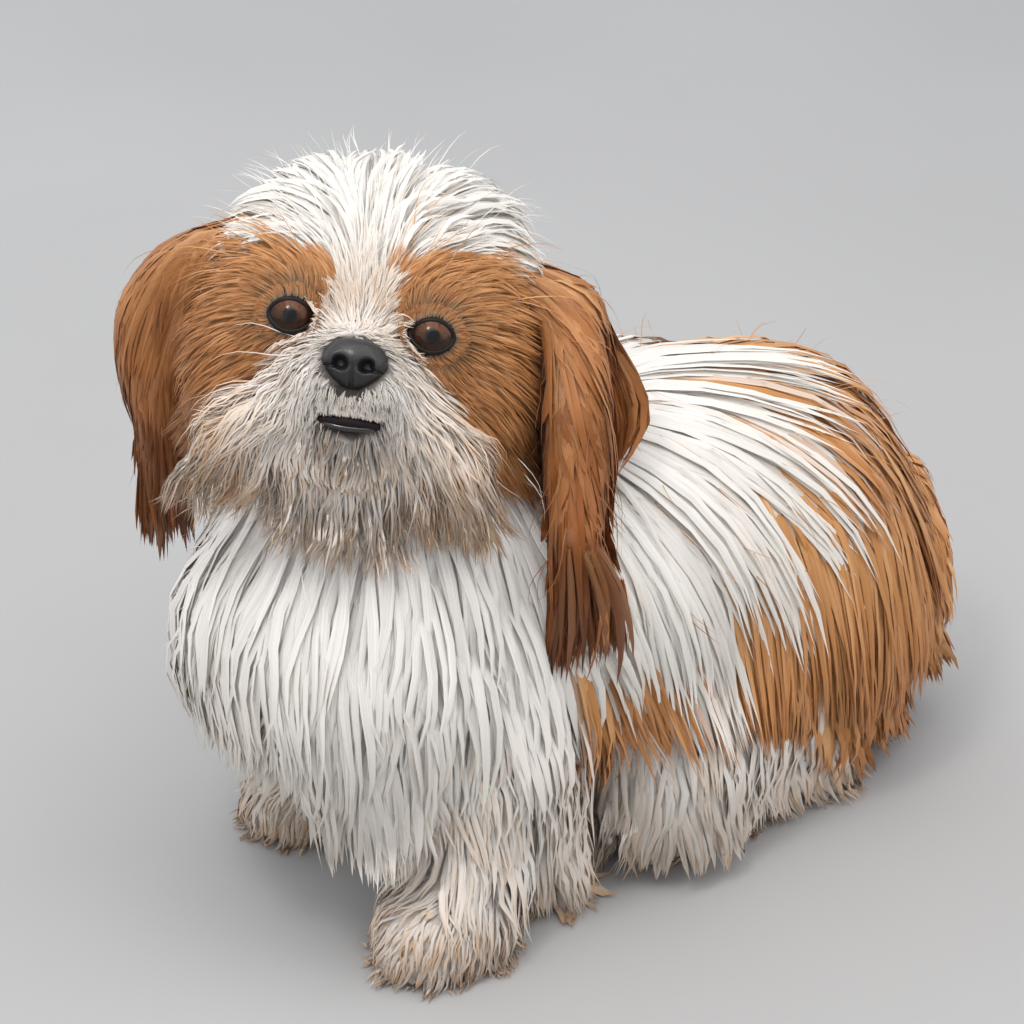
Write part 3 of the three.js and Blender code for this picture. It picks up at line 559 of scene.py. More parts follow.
def hide_material():
    """Skin under the undercoat: the same markings, a little darker, with the grain of short hair."""
    material, tree, skin = nodes_of("undercoat")
    marks = kept_at_points(tree, "coat")["Color"]
    grain = noise(tree, object_place(tree), 900.0)
    inputs = {"Marks": marks, "Chance": grain, "Lie": vector(tree, grain, 0.25, 0.0), "Strands": 6.0}
    hair = add(tree, "ShaderNodeGroup", {"node_tree": pigment}, inputs).outputs
    deep = mixed(tree, 1.0, hair["Color"], (0.85, 0.82, 0.80, 1), "MULTIPLY")
    fill(tree, skin, {"Base Color": deep, "Normal": relief(tree, grain, 0.6, 0.0006), "Roughness": 0.8})
    return material


hide_mesh.materials.append(hide_material())
FLESH = [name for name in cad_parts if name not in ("nose", "eye_left", "eye_right")]
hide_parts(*FLESH)
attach(hide, "root")

# The eyes: wet globes, dark brown with a black pupil, looking up at the viewer. The iris is painted by the
# angle from the way each eye looks, and a clear cornea makes them shine.
VIEWER = np.array([1.014, -0.855, 0.919])
EYE_RINGS, EYE_SIDES = 40, 48
IRIS_ANGLE, PUPIL_ANGLE = 47.0, 15.0  # degrees from the way the eye looks
CORNEA_RISE, CORNEA_ANGLE = 0.03, 34  # a share of the globe's radius, and its half width in degrees


def facing(side):
    """The way an eye looks, with the ways to its side and up."""
    ahead = unit(unit(VIEWER - EYES[side]) + 0.16 * FORWARD + 0.05 * side * HEAD_TURN[:, 0])
    across = unit(HEAD_TURN[:, 0] - ahead * (HEAD_TURN[:, 0] @ ahead))
    return ahead, across, np.cross(ahead, across) * -1


def grid_faces(rows, columns):
    """The faces between rings of points, each of which closes on itself."""
    faces = []
    for r in range(rows - 1):
        for c in range(columns):
            d = (c + 1) % columns
            faces.append((r * columns + c, r * columns + d, (r + 1) * columns + d, (r + 1) * columns + c))
    return faces


def mesh_of(name, points, faces):
    mesh = bpy.data.meshes.new(name)
    mesh.from_pydata([tuple(p) for p in points], [], faces)
    mesh.shade_smooth()
    return mesh


def outwards(mesh):
    form = bmesh.new()
    form.from_mesh(mesh)
    bmesh.ops.remove_doubles(form, verts=form.verts, dist=1e-6)
    bmesh.ops.recalc_face_normals(form, faces=form.faces)
    form.to_mesh(mesh)
    form.free()
    mesh.shade_smooth()


def ringed(name, rings, ends):
    """A closed mesh through rings of points, with a point at each end."""
    rows, columns = rings.shape[:2]
    first, last, end = rows * columns, rows * columns + 1, (rows - 1) * columns
    faces = grid_faces(rows, columns)
    for c in range(columns):
        d = (c + 1) % columns
        faces += [(d, c, first), (end + c, end + d, last)]
    mesh = mesh_of(name, [*rings.reshape(-1, 3), *ends], faces)
    outwards(mesh)
    return mesh


def around(sides):
    return 2 * np.pi * np.arange(sides) / sides


def eye_mesh(name, side):
    ahead, across, up = facing(side)
    tilt, turned = (np.pi * np.arange(1, EYE_RINGS) / EYE_RINGS)[:, None, None], around(EYE_SIDES)[:, None]
    bulge = 1 + CORNEA_RISE * np.exp(-((np.degrees(tilt) / CORNEA_ANGLE) ** 4))
    spoke = np.cos(turned) * across + np.sin(turned) * up
    rings = EYES[side] + EYE_R * bulge * (np.cos(tilt) * ahead + np.sin(tilt) * spoke)
    mesh = ringed(name, rings, [EYES[side] + ahead * EYE_R * (1 + CORNEA_RISE), EYES[side] - ahead * EYE_R])
    away = unit(vertices_of(mesh) - EYES[side])
    tilts = np.degrees(np.arccos(np.clip(away @ ahead, -1, 1)))
    rounds = np.arctan2(away @ up, away @ across)
    aside, above = 0.5 + 0.5 * np.cos(rounds), 0.5 + 0.5 * np.sin(rounds)
    set_colours(mesh, "look", np.column_stack([tilts / 90, aside, above, np.ones(len(away))]))
    return mesh


def eye_material():
    material, tree, globe = nodes_of("eye")
    parts = channels(tree, kept_at_points(tree, "look")["Color"])
    tilt = times(tree, parts[0], 90.0)
    fibre = noise(tree, vector(tree, parts[1], parts[2], times(tree, parts[0], 0.5)), 14.0, 4.0)
    # The iris is painted darker at its top and lighter below: painted shade from the upper lid.
    lit = ranged(tree, parts[2], 0.1, 0.75, 1.0, 0.12)
    iris = mixed(tree, times(tree, lit, fibre), (0.010, 0.004, 0.002, 1), (0.17, 0.050, 0.012, 1))
    iris = mixed(tree, ranged(tree, tilt, IRIS_ANGLE - 14, IRIS_ANGLE), iris, (0.012, 0.005, 0.003, 1))
    iris = mixed(tree, ranged(tree, tilt, PUPIL_ANGLE - 2, PUPIL_ANGLE + 3), (0.002, 0.002, 0.002, 1), iris)
    colour = mixed(tree, ranged(tree, tilt, IRIS_ANGLE, IRIS_ANGLE + 3), iris, (0.03, 0.02, 0.018, 1))
    gloss = {"Roughness": 0.25, "Specular IOR Level": 0.1, "Coat Weight": 0.4, "Coat Roughness": 0.02}
    fill(tree, globe, {"Base Color": colour, **gloss})
    return material


def fitted(thing, finish, slot, *nodes):
    """Gives a finished piece its material, and lets it ride in place of the nodes it replaces. The slot it is
    given is not used.
    """
    thing.data.materials.append(finish)
    if nodes:
        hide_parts(*nodes)
    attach(thing, "root")


eye_finish = eye_material()
for side, name in ((1, "eye_left"), (-1, "eye_right")):
    fitted(shown(f"globe_{name}", eye_mesh(name, side)), eye_finish, "eye_gloss", name)

# The eyelids: a dark rim of bare skin round each eye, open in an almond, that turns down into the hide
# behind the globe. The inner corner is drawn out towards the nose.
LID_SIDES = 56
LID_OPEN = (50.0, 35.0)  # half the opening's width and height, in degrees round the globe
LID_PROFILE = [  # degrees out from the rim, and the height over the globe in millimetres
    (-1.5, -0.3), (-0.5, 0.3), (1.5, 0.7), (5.0, 0.9), (8.0, 0.7),
    (12.0, 0.1), (18.0, -0.9), (26.0, -2.2), (38.0, -4.0),
]


def lid_point(side, a, extra, height):
    """A point on a lid: a is the turn round the eye, extra the degrees out from the rim."""
    ahead, across, up = facing(side)
    wide, high = math.cos(a), math.sin(a)
    inner = max(-wide * side, 0) ** 6
    x = wide * (LID_OPEN[0] + 7 * inner)
    y = high * LID_OPEN[1] * (1 - 0.22 * wide * wide) * (1.0 if high > 0 else 0.92) - 2 * inner
    tilt = math.radians(math.hypot(x, y) + extra)
    spoke = unit(x * across + y * up)
    return EYES[side] + (EYE_R + height / 1000) * (math.cos(tilt) * ahead + math.sin(tilt) * spoke)


def lid_mesh(name, side):
    turns = around(LID_SIDES)
    points = [lid_point(side, a, extra, height) for extra, height in LID_PROFILE for a in turns]
    shades = np.repeat([extra for extra, _ in LID_PROFILE], LID_SIDES)
    mesh = mesh_of(name, points, grid_faces(len(LID_PROFILE), LID_SIDES))
    set_colours(mesh, "rim", step(shades, 7, 16)[:, None] * (1, 0, 0, 0) + (0, 0, 0, 1))
    return mesh


def bare_skin_material():
    material, tree, skin = nodes_of("lid_rim")
    far = channels(tree, kept_at_points(tree, "rim")["Color"])[0]
    grain = noise(tree, object_place(tree), 1400.0)
    bare = mixed(tree, grain, (0.003, 0.0025, 0.0025, 1), (0.014, 0.010, 0.009, 1))
    colour = mixed(tree, far, bare, (0.030, 0.012, 0.006, 1))
    inputs = {"Base Color": colour, "Normal": relief(tree, grain, 0.4, 0.0002)}
    fill(tree, skin, {**inputs, "Roughness": 0.42, "Specular IOR Level": 0.18})
    return material


LID_THICK = 0.0006
lid_finish = bare_skin_material()
for side, name in ((1, "lids_left"), (-1, "lids_right")):
    lids = shown(name, lid_mesh(name, side))
    thick = lids.modifiers.new("thickness", "SOLIDIFY")
    thick.thickness = LID_THICK
    thick.offset = -1
    plain_mesh(lids)
    outwards(lids.data)
    fitted(lids, lid_finish, "nose_leather")

# The nose: black pebbled leather, broad above and narrow below, with a comma-shaped nostril at each side and
# a groove down the middle.
NOSE_HALF = (13.7, 8.4, 10.6)  # half its size across, deep and high, in millimetres
NOSE_DETAIL = 72


def nose_mesh():
    rows, columns = NOSE_DETAIL, NOSE_DETAIL * 2
    v, h = np.meshgrid(np.pi * (np.arange(rows) + 0.5) / rows, around(columns), indexing="ij")
    x, y, z = np.sin(v) * np.cos(h), np.sin(v) * np.sin(h), np.cos(v)
    shape = [np.sign(c) * np.abs(c) ** 0.86 for c in (x, y, z)]
    px, py, pz = shape[0] * NOSE_HALF[0], shape[1] * NOSE_HALF[1], shape[2] * NOSE_HALF[2]
    below = np.clip(-pz / NOSE_HALF[2], 0, 1)
    px = px * (1 - 0.46 * below ** 1.3)
    py = py + 1.6 * below - 0.7 * np.clip(pz / NOSE_HALF[2], 0, 1) ** 2
    front = step(-py, 1.0, 4.0)
    sideways = np.abs(px)
    hole = np.exp(-(((sideways - 5.3) / 3.0) ** 2 + ((pz + 0.4 - 0.12 * (sideways - 5)) / 2.6) ** 2) ** 2)
    slit = np.exp(-(((pz + 1.9 + 0.14 * (sideways - 8)) / 0.8) ** 2))
    slit = slit * step(sideways, 6.0, 8.0) * (1 - step(sideways, 11.0, 12.5))
    groove = np.exp(-((px / 0.75) ** 2)) * step(-pz, -3.0, 2.0)
    wing = np.exp(-(((sideways - 9.3) / 2.6) ** 2 + ((pz - 0.6) / 3.6) ** 2))
    bridge = np.exp(-((sideways / 3.6) ** 2 + ((pz - 2) / 5) ** 2))
    deep = 5.8 * hole + 2.4 * slit + 1.5 * groove - 0.9 * wing - 0.5 * bridge
    rings = HEAD_AT + (np.stack([px, py + deep * front, pz], -1) + NOSE_AT) / 1000 @ HEAD_TURN.T
    return ringed("nose_leather", rings, [rings[0].mean(0), rings[-1].mean(0)])


def leather_material():
    material, tree, skin = nodes_of("nose_leather")
    place = object_place(tree)
    edges = {"Vector": place, "Scale": 1150.0}
    pebble = add(tree, "ShaderNodeTexVoronoi", {"feature": "DISTANCE_TO_EDGE"}, edges).outputs[0]
    pebble = ranged(tree, pebble, 0.0, 0.22)
    cloud = noise(tree, place, 260.0)
    colour = mixed(tree, cloud, (0.006, 0.0055, 0.006, 1), (0.022, 0.020, 0.021, 1))
    # The grooves between the pebbles are painted darker: painted shade in the creases.
    colour = mixed(tree, pebble, (0.006, 0.005, 0.006, 1), colour)
    rough = ranged(tree, cloud, 0.3, 0.7, 0.30, 0.48)
    inputs = {"Base Color": colour, "Roughness": rough, "Normal": relief(tree, pebble, 0.55, 0.00022)}
    fill(tree, skin, {**inputs, "Specular IOR Level": 0.3, "Coat Weight": 0.5, "Coat Roughness": 0.28})
    return material


fitted(shown("nose_leather", nose_mesh()), leather_material(), "nose_leather", "nose")

# The mouth: a little open and dark inside, between the thin black edges of the flews and the wet lower lip.
# Each is a soft roll of bare skin from one corner to the other, set into the hide. The roll inside the mouth
# is as black as the flews, which is painted shade in the open mouth.
LIP_SIDES, LIP_STEPS = 14, 40
MOUTH_AT = (2.0, -61.0, -41.0)
MOUTH_HALF = 11.5  # half the width of the mouth, in millimetres


def lip_mesh(name, rise, front, radius, flat):
    """A roll from corner to corner of the mouth, whose middle rises and stands forward in millimetres."""
    u = np.linspace(-1, 1, LIP_STEPS)
    middle = 1 - np.abs(u) ** 1.7
    arc = np.column_stack([MOUTH_HALF * np.sin(u * np.pi / 2), -front * (1 - u * u), rise * middle])
    line = HEAD_AT + (arc + MOUTH_AT) / 1000 @ HEAD_TURN.T
    way = unit(np.gradient(line, axis=0))
    side = unit(np.cross(way, HEAD_TURN[:, 2]))
    over = np.cross(side, way)
    a = around(LIP_SIDES)[:, None]
    spokes = np.cos(a) * side[:, None] + flat * np.sin(a) * over[:, None]
    thick = radius / 1000 * (0.3 + 0.7 * middle**0.5)
    return ringed(name, line[:, None] + thick[:, None, None] * spokes, [line[0], line[-1]])


def lip_material(name, low, high, roughness, wet):
    material, tree, skin = nodes_of(name)
    grain = noise(tree, object_place(tree), 700.0)
    inputs = {"Base Color": mixed(tree, grain, low, high), "Normal": relief(tree, grain, 0.3, 0.0003)}
    gloss = {"Specular IOR Level": 0.2, "Coat Weight": wet, "Coat Roughness": 0.12}
    fill(tree, skin, {**inputs, "Roughness": roughness, **gloss})
    return material


wet_lip = lip_material("wet_lip", (0.004, 0.003, 0.003, 1), (0.014, 0.010, 0.010, 1), 0.22, 1.0)
mouth_dark = lip_material("mouth_dark", (0.004, 0.002, 0.002, 1), (0.012, 0.006, 0.006, 1), 0.6, 0.0)
for name, finish, *shape in (
    ("lip_upper", mouth_dark, 4.0, 4.4, 1.2, 1.0),
    # Painted shade: the dark inside of the open mouth.
    ("mouth_inside", mouth_dark, 0.6, 2.6, 3.4, 0.9),
    ("lip_lower", wet_lip, -2.2, 4.0, 1.6, 0.8),
):
    fitted(shown(name, lip_mesh(name, *shape)), finish, "nose_leather")

# The coat: long silky hair in tufts that follow its lie. Each tuft is a thin blade, ridged outside and flat
# below, that tapers to a point. It grows from its root step by step, bends down with its weight and rises
# to its own level in the coat. Hair rooted higher lies over the hair that is rooted lower.
RANDOM = np.random.default_rng(20)
ROOT_SINK = 0.0015
PATCH = 0.003  # the side of a tuft's patch on the unwrap
FLOOR_CLEAR, ROOTS_CLEAR = 0.0012, 0.002  # the least height of a tuft's middle, and how much more at its root
LOWEST = 0.0003  # the least height of its edges
REACH = 0.009
FARTHEST = np.array(solids_box) + np.array([[-REACH], [REACH]])  # no tuft reaches out of this box
EYE_AHEAD, EYE_CLEAR = 0.013, 0.0085  # no tuft passes within a ball in front of each eye
SOFTNESS = 0.75  # how far a tuft is lit like the coat around it
MOMENTUM = 0.8  # how far hair keeps its heading
LOCK_COLOURS = 0.75  # how far a tuft takes the markings of its lock
LENGTHS_VARY, WIDTHS_VARY = (0.82, 1.12), (0.7, 1.25)
SLIM_BELOW = 0.018  # shorter tufts are slimmer too, down to half
SPINE_X = -0.004
BLOCK = 1000  # tufts are compared with the leaders of locks in blocks of this many
EYE_GUARD = ([cone(EYES[side], EYES[side] + FORWARD * 0.004, 11.6, 11.6, 0) for side in (1, -1)], 0.001)
NOSE_GUARD = ([head_cone((-5, -66, -17), (7, -66, -17), 9.5, 9.5, 0)], 0.004)
MOUTH_GUARD = ([head_cone((-6, -66, -42), (10, -66, -42), 2.0, 2.0, 0)], 0.004)


def hair_material(name, strands, bump):
    material, tree, skin = nodes_of(name)
    coat = kept_at_points(tree, "coat")
    lie = add(tree, "ShaderNodeUVMap", {"uv_map": "lie"}).outputs[0]
    inputs = {"Marks": coat["Color"], "Chance": coat["Alpha"], "Lie": lie, "Strands": strands}
    hair = add(tree, "ShaderNodeGroup", {"node_tree": pigment}, inputs).outputs
    height = relief(tree, hair["Height"], bump, 0.0004)
    fill(tree, skin, {"Base Color": hair["Color"], "Roughness": hair["Roughness"], "Normal": height})
    fill(tree, skin, {"Specular IOR Level": 0.28, "Sheen Weight": 0.05, "Sheen Roughness": 0.4})
    return material


LONG_HAIR, FACE_HAIR = hair_material("long_hair", 9.0, 0.3), hair_material("face_hair", 3.0, 0.2)


def roots(count, weights):
    """Random roots on the hide, as close as the weights of its faces say."""
    share = np.cumsum(hide_areas * weights)
    picked = np.searchsorted(share, RANDOM.random(count) * share[-1])
    picked = np.minimum(picked, triangle_count - 1)
    u, v = np.sqrt(RANDOM.random(count)), RANDOM.random(count)
    parts = np.column_stack([1 - u, u * (1 - v), u * v])[:, :, None]
    places = (hide_corners[picked] * parts).sum(1) - hide_normals[picked] * ROOT_SINK
    return places, hide_normals[picked], (hide_uv[picked] * parts).sum(1), hide_regions[picked]


def lid_roots(count, weights):
    """Random roots on the lids, beyond their bare rims."""
    sides = np.where(RANDOM.random(count) < 0.5, 1, -1)
    given = zip(sides, RANDOM.random(count) * 2 * math.pi, RANDOM.uniform(6, 26, count))
    places = np.array([lid_point(side, a, extra, 0.2) for side, a, extra in given])
    nearest = np.array([np.argmin(np.linalg.norm(hide_centres - place, axis=1)) for place in places])
    out = unit(places - np.array([EYES[side] for side in sides]))
    return places, out, hide_uv[nearest].mean(1), np.full(count, "skull")


# The lie of the coat, part by part
PETALS_FROM = np.array([0.0, -62.0, -14.0])


def petals(places, normals):
    """The face's hair spreads like petals from above the nose, round the eyes, and falls at the sides."""
    own = head_frame(places)
    x, y, z = own.T
    side = np.sign(x) * step(np.abs(x), 0, 16)
    crown = np.maximum(step(z, 12, 34), step(y, -36, -10))
    outer = step(np.abs(x), 26, 56)
    way = unit(own - PETALS_FROM)
    way += np.column_stack([side * (0.15 + 0.85 * crown), 0.35 * crown, 0.15 - 0.35 * crown - 0.8 * outer])
    for eye in (1, -1):
        off = own - head_frame(EYES[eye][None])
        way += 1.3 * unit(off) * (1 - step(np.linalg.norm(off, axis=1), 11, 20))[:, None]
    return way @ HEAD_TURN.T


def moustache(places, normals):
    """From the nose and the lips the hair falls outward, and from the chin down."""
    own = head_frame(places)
    outward = unit((own - (0.0, -50.0, -16.0)) * (1, 0.3, 1))
    below = step(-own[:, 2], 20, 38)
    outward[:, 2] -= 0.2 + 0.45 * below
    return outward @ HEAD_TURN.T


def hanging(places, normals):
    """Off the ear's fold the hair runs outward, and then straight down."""
    side = np.where(places @ HEAD_TURN[:, 0] > HEAD_AT @ HEAD_TURN[:, 0], 1.0, -1.0)
    outward = side[:, None] * np.array([HEAD_TURN[0, 0], HEAD_TURN[1, 0], 0.0])
    return DOWN + normals * 0.1 + outward * (0.8 * step(normals[:, 2], 0.1, 0.8))[:, None]


def swept(places, normals):
    """From the parting along the spine the hair falls down both flanks, a little back, and down the chest."""
    x, y, z = places.T
    side = np.clip((x - SPINE_X) / 0.022, -1, 1)
    rear = step(y, 0.02, 0.07)
    back = 0.6 - 0.3 * step(y, -0.15, -0.05)
    top = step(normals[:, 2], 0.2, 0.9)
    fall = -0.45 - 0.35 * (1 - top)
    saddle = np.column_stack([side * (0.95 - 0.45 * rear), back * 0.7 + 0.35 * rear, fall])
    saddle[:, 1] += 0.6 * (1 - np.abs(side))
    chest = np.column_stack([5 * (x + 0.012), -0.2 + 0 * x, -1 + 0 * x])
    front = ((1 - step(y, -0.19, -0.15)) * (1 - step(normals[:, 1], -0.2, 0.3)))[:, None]
    return saddle * (1 - front) + chest * front


def down_the_leg(places, normals):
    height = places[:, 2:]
    flare = 0.6 + 0.5 * step(height, 0.02, 0.04) * (1 - step(height, 0.06, 0.10))
    return normals * flare + DOWN + np.array([0.0, 0.12, 0.0])


def over_the_toes(places, normals):
    return normals * 0.4 + np.array([0.0, -0.5, -0.6])


def plume(places, normals):
    return normals * 0.5 + np.array([0.15, 0.25, -1.0])


LIES = {"skull": petals, "muzzle": moustache, "chin": moustache, "ear_left": hanging, "ear_right": hanging,
        "neck": swept, "torso": swept, "legs": down_the_leg, "paws": over_the_toes, "tail": plume}


def lie_of(places, normals, regions):
    ways = np.zeros_like(places)
    for region, lie in LIES.items():
        here = regions == region
        ways[here] = lie(places[here], normals[here])
    swirl = np.column_stack([ripple(places, 0.035, seed) for seed in (1.0, 2.3, 4.1)])
    return unit(unit(ways) + 0.16 * swirl)


def grow(places, ways, lengths, rise, droop, over, clear, steps):
    """The paths of tufts from their roots. rise is the share of the coat's depth that each one rises to, and
    clear lists the bodies that it keeps out of, each with a share of its coat."""
    path, heading = [places], ways
    power = 0.95 - 0.45 * np.clip(rise, 0, 1)
    for i in range(1, steps + 1):
        t = i / steps
        share = SKIN_SHARE + (rise - SKIN_SHARE) * t**power
        _, out = field(path[-1], over, share)
        upward = np.clip(out[:, 2:] * 2.5 + 1.0, 0, 1)
        pull = droop * t
        heading = unit(unit(ways * (1 - pull) + DOWN * pull) + heading * MOMENTUM)
        heading = heading - out * (heading * out).sum(1, keepdims=True) * upward
        p = path[-1] + unit(heading) * (lengths / steps)[:, None]
        distance, out = field(p, over, share)
        p = p + out * np.where(distance < 0, -distance, -distance * upward[:, 0])[:, None]
        for bodies, level in clear:
            distance, out = field(p, bodies, level)
            p = p + out * np.maximum(-distance, 0)[:, None]
        p[:, 2] = np.maximum(p[:, 2], FLOOR_CLEAR + ROOTS_CLEAR * (1 - t))
        path.append(path[-1] + unit(p - path[-1]) * (lengths / steps)[:, None])
    path = np.stack(path, 1)
    path[:, 1:-1] = path[:, 1:-1] * 0.5 + (path[:, :-2] + path[:, 2:]) * 0.25
    return path


def trimmed(path, hem):
    """Ends each tuft where it comes down to the hem of the coat."""
    count, points, _ = path.shape
    heights = hem(path.reshape(-1, 3)).reshape(count, points) if callable(hem) else hem
    low = path[:, :, 2] < heights + RANDOM.uniform(-0.004, 0.012, count)[:, None]
    low[:, :2] = False
    last = np.where(low.any(1), np.argmax(low, axis=1), points - 1)
    at = np.linspace(0, 1, points)[None] * (last - RANDOM.random(count) * low.any(1))[:, None]
    before = np.minimum(at.astype(int), points - 2)
    part = (at - before)[:, :, None]
    rows = np.arange(count)[:, None]
    return path[rows, before] * (1 - part) + path[rows, before + 1] * part


def gathered(path, size, pull):
    """Draws tufts together in locks of that many, towards one of them, and says which one leads each."""
    count = len(path)
    leaders = RANDOM.choice(count, max(int(count / size), 1), replace=False)
    lead = np.zeros(count, int)
    for start in range(0, count, BLOCK):
        block = path[start : start + BLOCK, 1]
        apart = ((block[:, None] - path[leaders, 1][None]) ** 2).sum(-1)
        lead[start : start + BLOCK] = leaders[np.argmin(apart, axis=1)]
    t = np.linspace(0, 1, path.shape[1]) ** 1.3
    pull = np.clip(RANDOM.normal(pull, 0.15, count), 0, 0.92)
    same = (unit(path[:, -1] - path[:, 0]) * unit(path[lead, -1] - path[lead, 0])).sum(1)
    amount = (pull * np.clip(same * 2 - 0.8, 0, 1))[:, None, None] * t[None, :, None]
    return path + (path[lead] - path) * amount, lead


def waved(path, lead, size, turns):
    """Adds the slow waves of each lock, and a little of each tuft's own."""
    count, points, _ = path.shape
    t = np.linspace(0, 1, points)[None, :, None]
    phase = (lead * 0.731 % 1 * 2 * math.pi + RANDOM.normal(0, 0.4, count))[:, None, None]
    way = unit(path[:, -1] - path[:, 0])
    side = unit(np.cross(way, RANDOM.normal(0, 0.2, (count, 3)) + way[:, [1, 2, 0]] * (1, -1, 1)))[:, None]
    other = np.cross(way[:, None], side)
    rate = (turns * (0.8 + 0.4 * (lead * 0.377 % 1)))[:, None, None]
    sway = np.sin(2 * math.pi * rate * t + phase) - np.sin(phase)
    lift = np.sin(2 * math.pi * rate * 0.8 * t + phase * 1.7) - np.sin(phase * 1.7)
    size = (size * RANDOM.uniform(0.5, 1.4, count))[:, None, None]
    path = path + t * size * (side * sway + 0.4 * other * lift)
    path[:, :, 2] = np.maximum(path[:, :, 2], FLOOR_CLEAR)
    return path


def tufts(name, path, outs, widths, colours, uvs, thick=0.14, full=0.35):
    """One mesh of all the tufts. full is the part of its length where a tuft is widest."""
    count, points, _ = path.shape
    rings = points - 1
    way = unit(np.gradient(path, axis=1))
    across = unit(np.cross(way, outs + RANDOM.normal(0, 0.22, (count, 1, 3))))
    over = np.cross(across, way)
    t = np.arange(rings) / rings
    shape = np.minimum(0.55 + 0.45 * t / full, 1) * (1 - 0.92 * np.maximum((t - full) / (1 - full), 0) ** 1.8)
    half = (widths / 2)[:, None, None] * shape[None, :, None]
    a, o, body = across[:, :rings], over[:, :rings], path[:, :rings]
    co = np.stack([body + a * half, body + o * half * thick * 2, body - a * half], 2)
    co = np.concatenate([co.reshape(count, rings * 3, 3), path[:, -1:]], 1)
    co[:, :, 2] = np.maximum(co[:, :, 2], LOWEST)
    soft, own = outs[:, :rings] * SOFTNESS, o * (1 - SOFTNESS)
    lit = np.stack([unit(soft + own + 0.3 * a), unit(soft + own), unit(soft + own - 0.3 * a)], 2)
    lit = np.concatenate([lit.reshape(count, rings * 3, 3), outs[:, -1:]], 1)
    under = np.concatenate([np.repeat(-o, 3, axis=1), -over[:, -1:]], 1)
    faces = [(0, 1, 2)]
    for r in range(rings - 1):
        for i in range(3):
            p, q = 3 * r + i, 3 * r + (i + 1) % 3
            faces += [(p, q + 3, q), (p, p + 3, q + 3)]
    faces += [(3 * rings - 3 + i, 3 * rings, 3 * rings - 3 + (i + 1) % 3) for i in range(3)]
    faces = np.array(faces).ravel()
    between = [False, False, False, False, True, True]
    beneath = np.repeat([True] + between * (rings - 1) + [False, False, True], 3)
    each = 3 * rings + 1
    sideways, along = np.append(np.tile([0.0, 0.5, 1.0], rings), 0.5), np.append(np.repeat(t, 3), 1.0)
    lie = np.column_stack([sideways, along])[faces]
    index = (faces[None] + np.arange(count)[:, None] * each).ravel()
    mesh = bpy.data.meshes.new(name)
    mesh.vertices.add(count * each)
    mesh.vertices.foreach_set("co", co.astype(np.float32).ravel())
    mesh.loops.add(len(index))
    mesh.loops.foreach_set("vertex_index", index.astype(np.int32))
    mesh.polygons.add(len(index) // 3)
    mesh.polygons.foreach_set("loop_start", np.arange(0, len(index), 3, dtype=np.int32))
    mesh.update(calc_edges=True)
    mesh.shade_smooth()
    baked = uvs[:, None] + PATCH * (lie[None] - 0.5)
    for layer, values in (("OFBake", baked), ("lie", np.broadcast_to(lie, (count, *lie.shape)))):
        mesh.uv_layers.new(name=layer).uv.foreach_set("vector", values.astype(np.float32).ravel())
    shades = np.concatenate([np.repeat(colours[:, :rings], 3, axis=1), colours[:, -1:]], 1)
    set_colours(mesh, "coat", shades.reshape(-1, 4))
    normals = np.where(beneath[None, :, None], under[:, faces], lit[:, faces])
    mesh.normals_split_custom_set(normals.reshape(-1, 3))
    return mesh


def locked_marks(places, regions, lead):
    """The markings of tufts, mostly taken where their lock is rooted, so that white meets red in locks."""
    own, of_lock = marks_of(places, regions), marks_of(places[lead], regions[lead])
    marks = own * (1 - LOCK_COLOURS) + of_lock * LOCK_COLOURS
    marks[:, 0] = step(marks[:, 0] + RANDOM.normal(0, 0.08, len(places)), 0.42, 0.58)
    chance = 0.55 * (lead * 0.618 % 1) + 0.45 * RANDOM.random(len(places))
    return np.column_stack([marks, chance])


def coat(name, count, weights, lengths, over, slot, finish=LONG_HAIR, clear=(), steps=7, lift=0.3, stray=0.08,
         droop=0.8, rank=None, depth=(0.62, 1.04), widths=(0.0060, 0.0042), locks=((4, 0.35), (16, 0.4)),
         wave=0.002, turns=0.8, hem=None, tone=None, source=roots):
    """A piece of the coat. rank says from 0 to 1 how far up in the coat the hair of each root lies. depth and
    widths are the level and the width of the lowest and of the topmost tufts. lengths gives their lengths,
    and hem the height where they end, each as a number or worked out from places. tone darkens them along
    their paths."""
    places, normals, uvs, regions = source(count, weights)
    level = RANDOM.random(count) ** 0.65
    if rank:
        level = np.clip(0.55 * level + 0.6 * rank(places) - 0.1, 0, 1)
    sizes = (lengths(places) if callable(lengths) else lengths) * RANDOM.uniform(*LENGTHS_VARY, count)
    starts = unit(lie_of(places, normals, regions) + normals * lift + RANDOM.normal(0, stray, (count, 3)))
    rise = (depth[0] + (depth[1] - depth[0]) * level) * (1 - 0.55 * step(-normals[:, 2], 0.1, 0.7))
    path = grow(places, starts, sizes, rise, droop, over, clear, steps)
    if hem:
        path = trimmed(path, hem)
    for size, pull in locks:
        path, lead = gathered(path, size, pull)
    path = waved(path, lead, wave * sizes / sizes.mean(), turns)
    outs = field(path.reshape(-1, 3), over, 0.7)[1].reshape(path.shape)
    thin = (widths[0] + (widths[1] - widths[0]) * level) * RANDOM.uniform(*WIDTHS_VARY, count)
    thin *= np.clip(sizes / SLIM_BELOW, 0.5, 1)
    colours = np.repeat(locked_marks(places, regions, lead)[:, None], path.shape[1], axis=1)
    if tone:
        colours[:, :, 2] = tone(path, colours[:, :, 2])
    ahead = [EYES[side] + facing(side)[0] * EYE_AHEAD for side in (1, -1)]
    kept = ((path > FARTHEST[0]) & (path < FARTHEST[1])).all((1, 2))
    kept &= np.min([np.linalg.norm(path - ball, axis=2).min(1) for ball in ahead], axis=0) > EYE_CLEAR
    mesh = tufts(name, *[part[kept] for part in (path, outs, thin, colours, uvs)])
    fitted(shown(name, mesh), finish, slot)


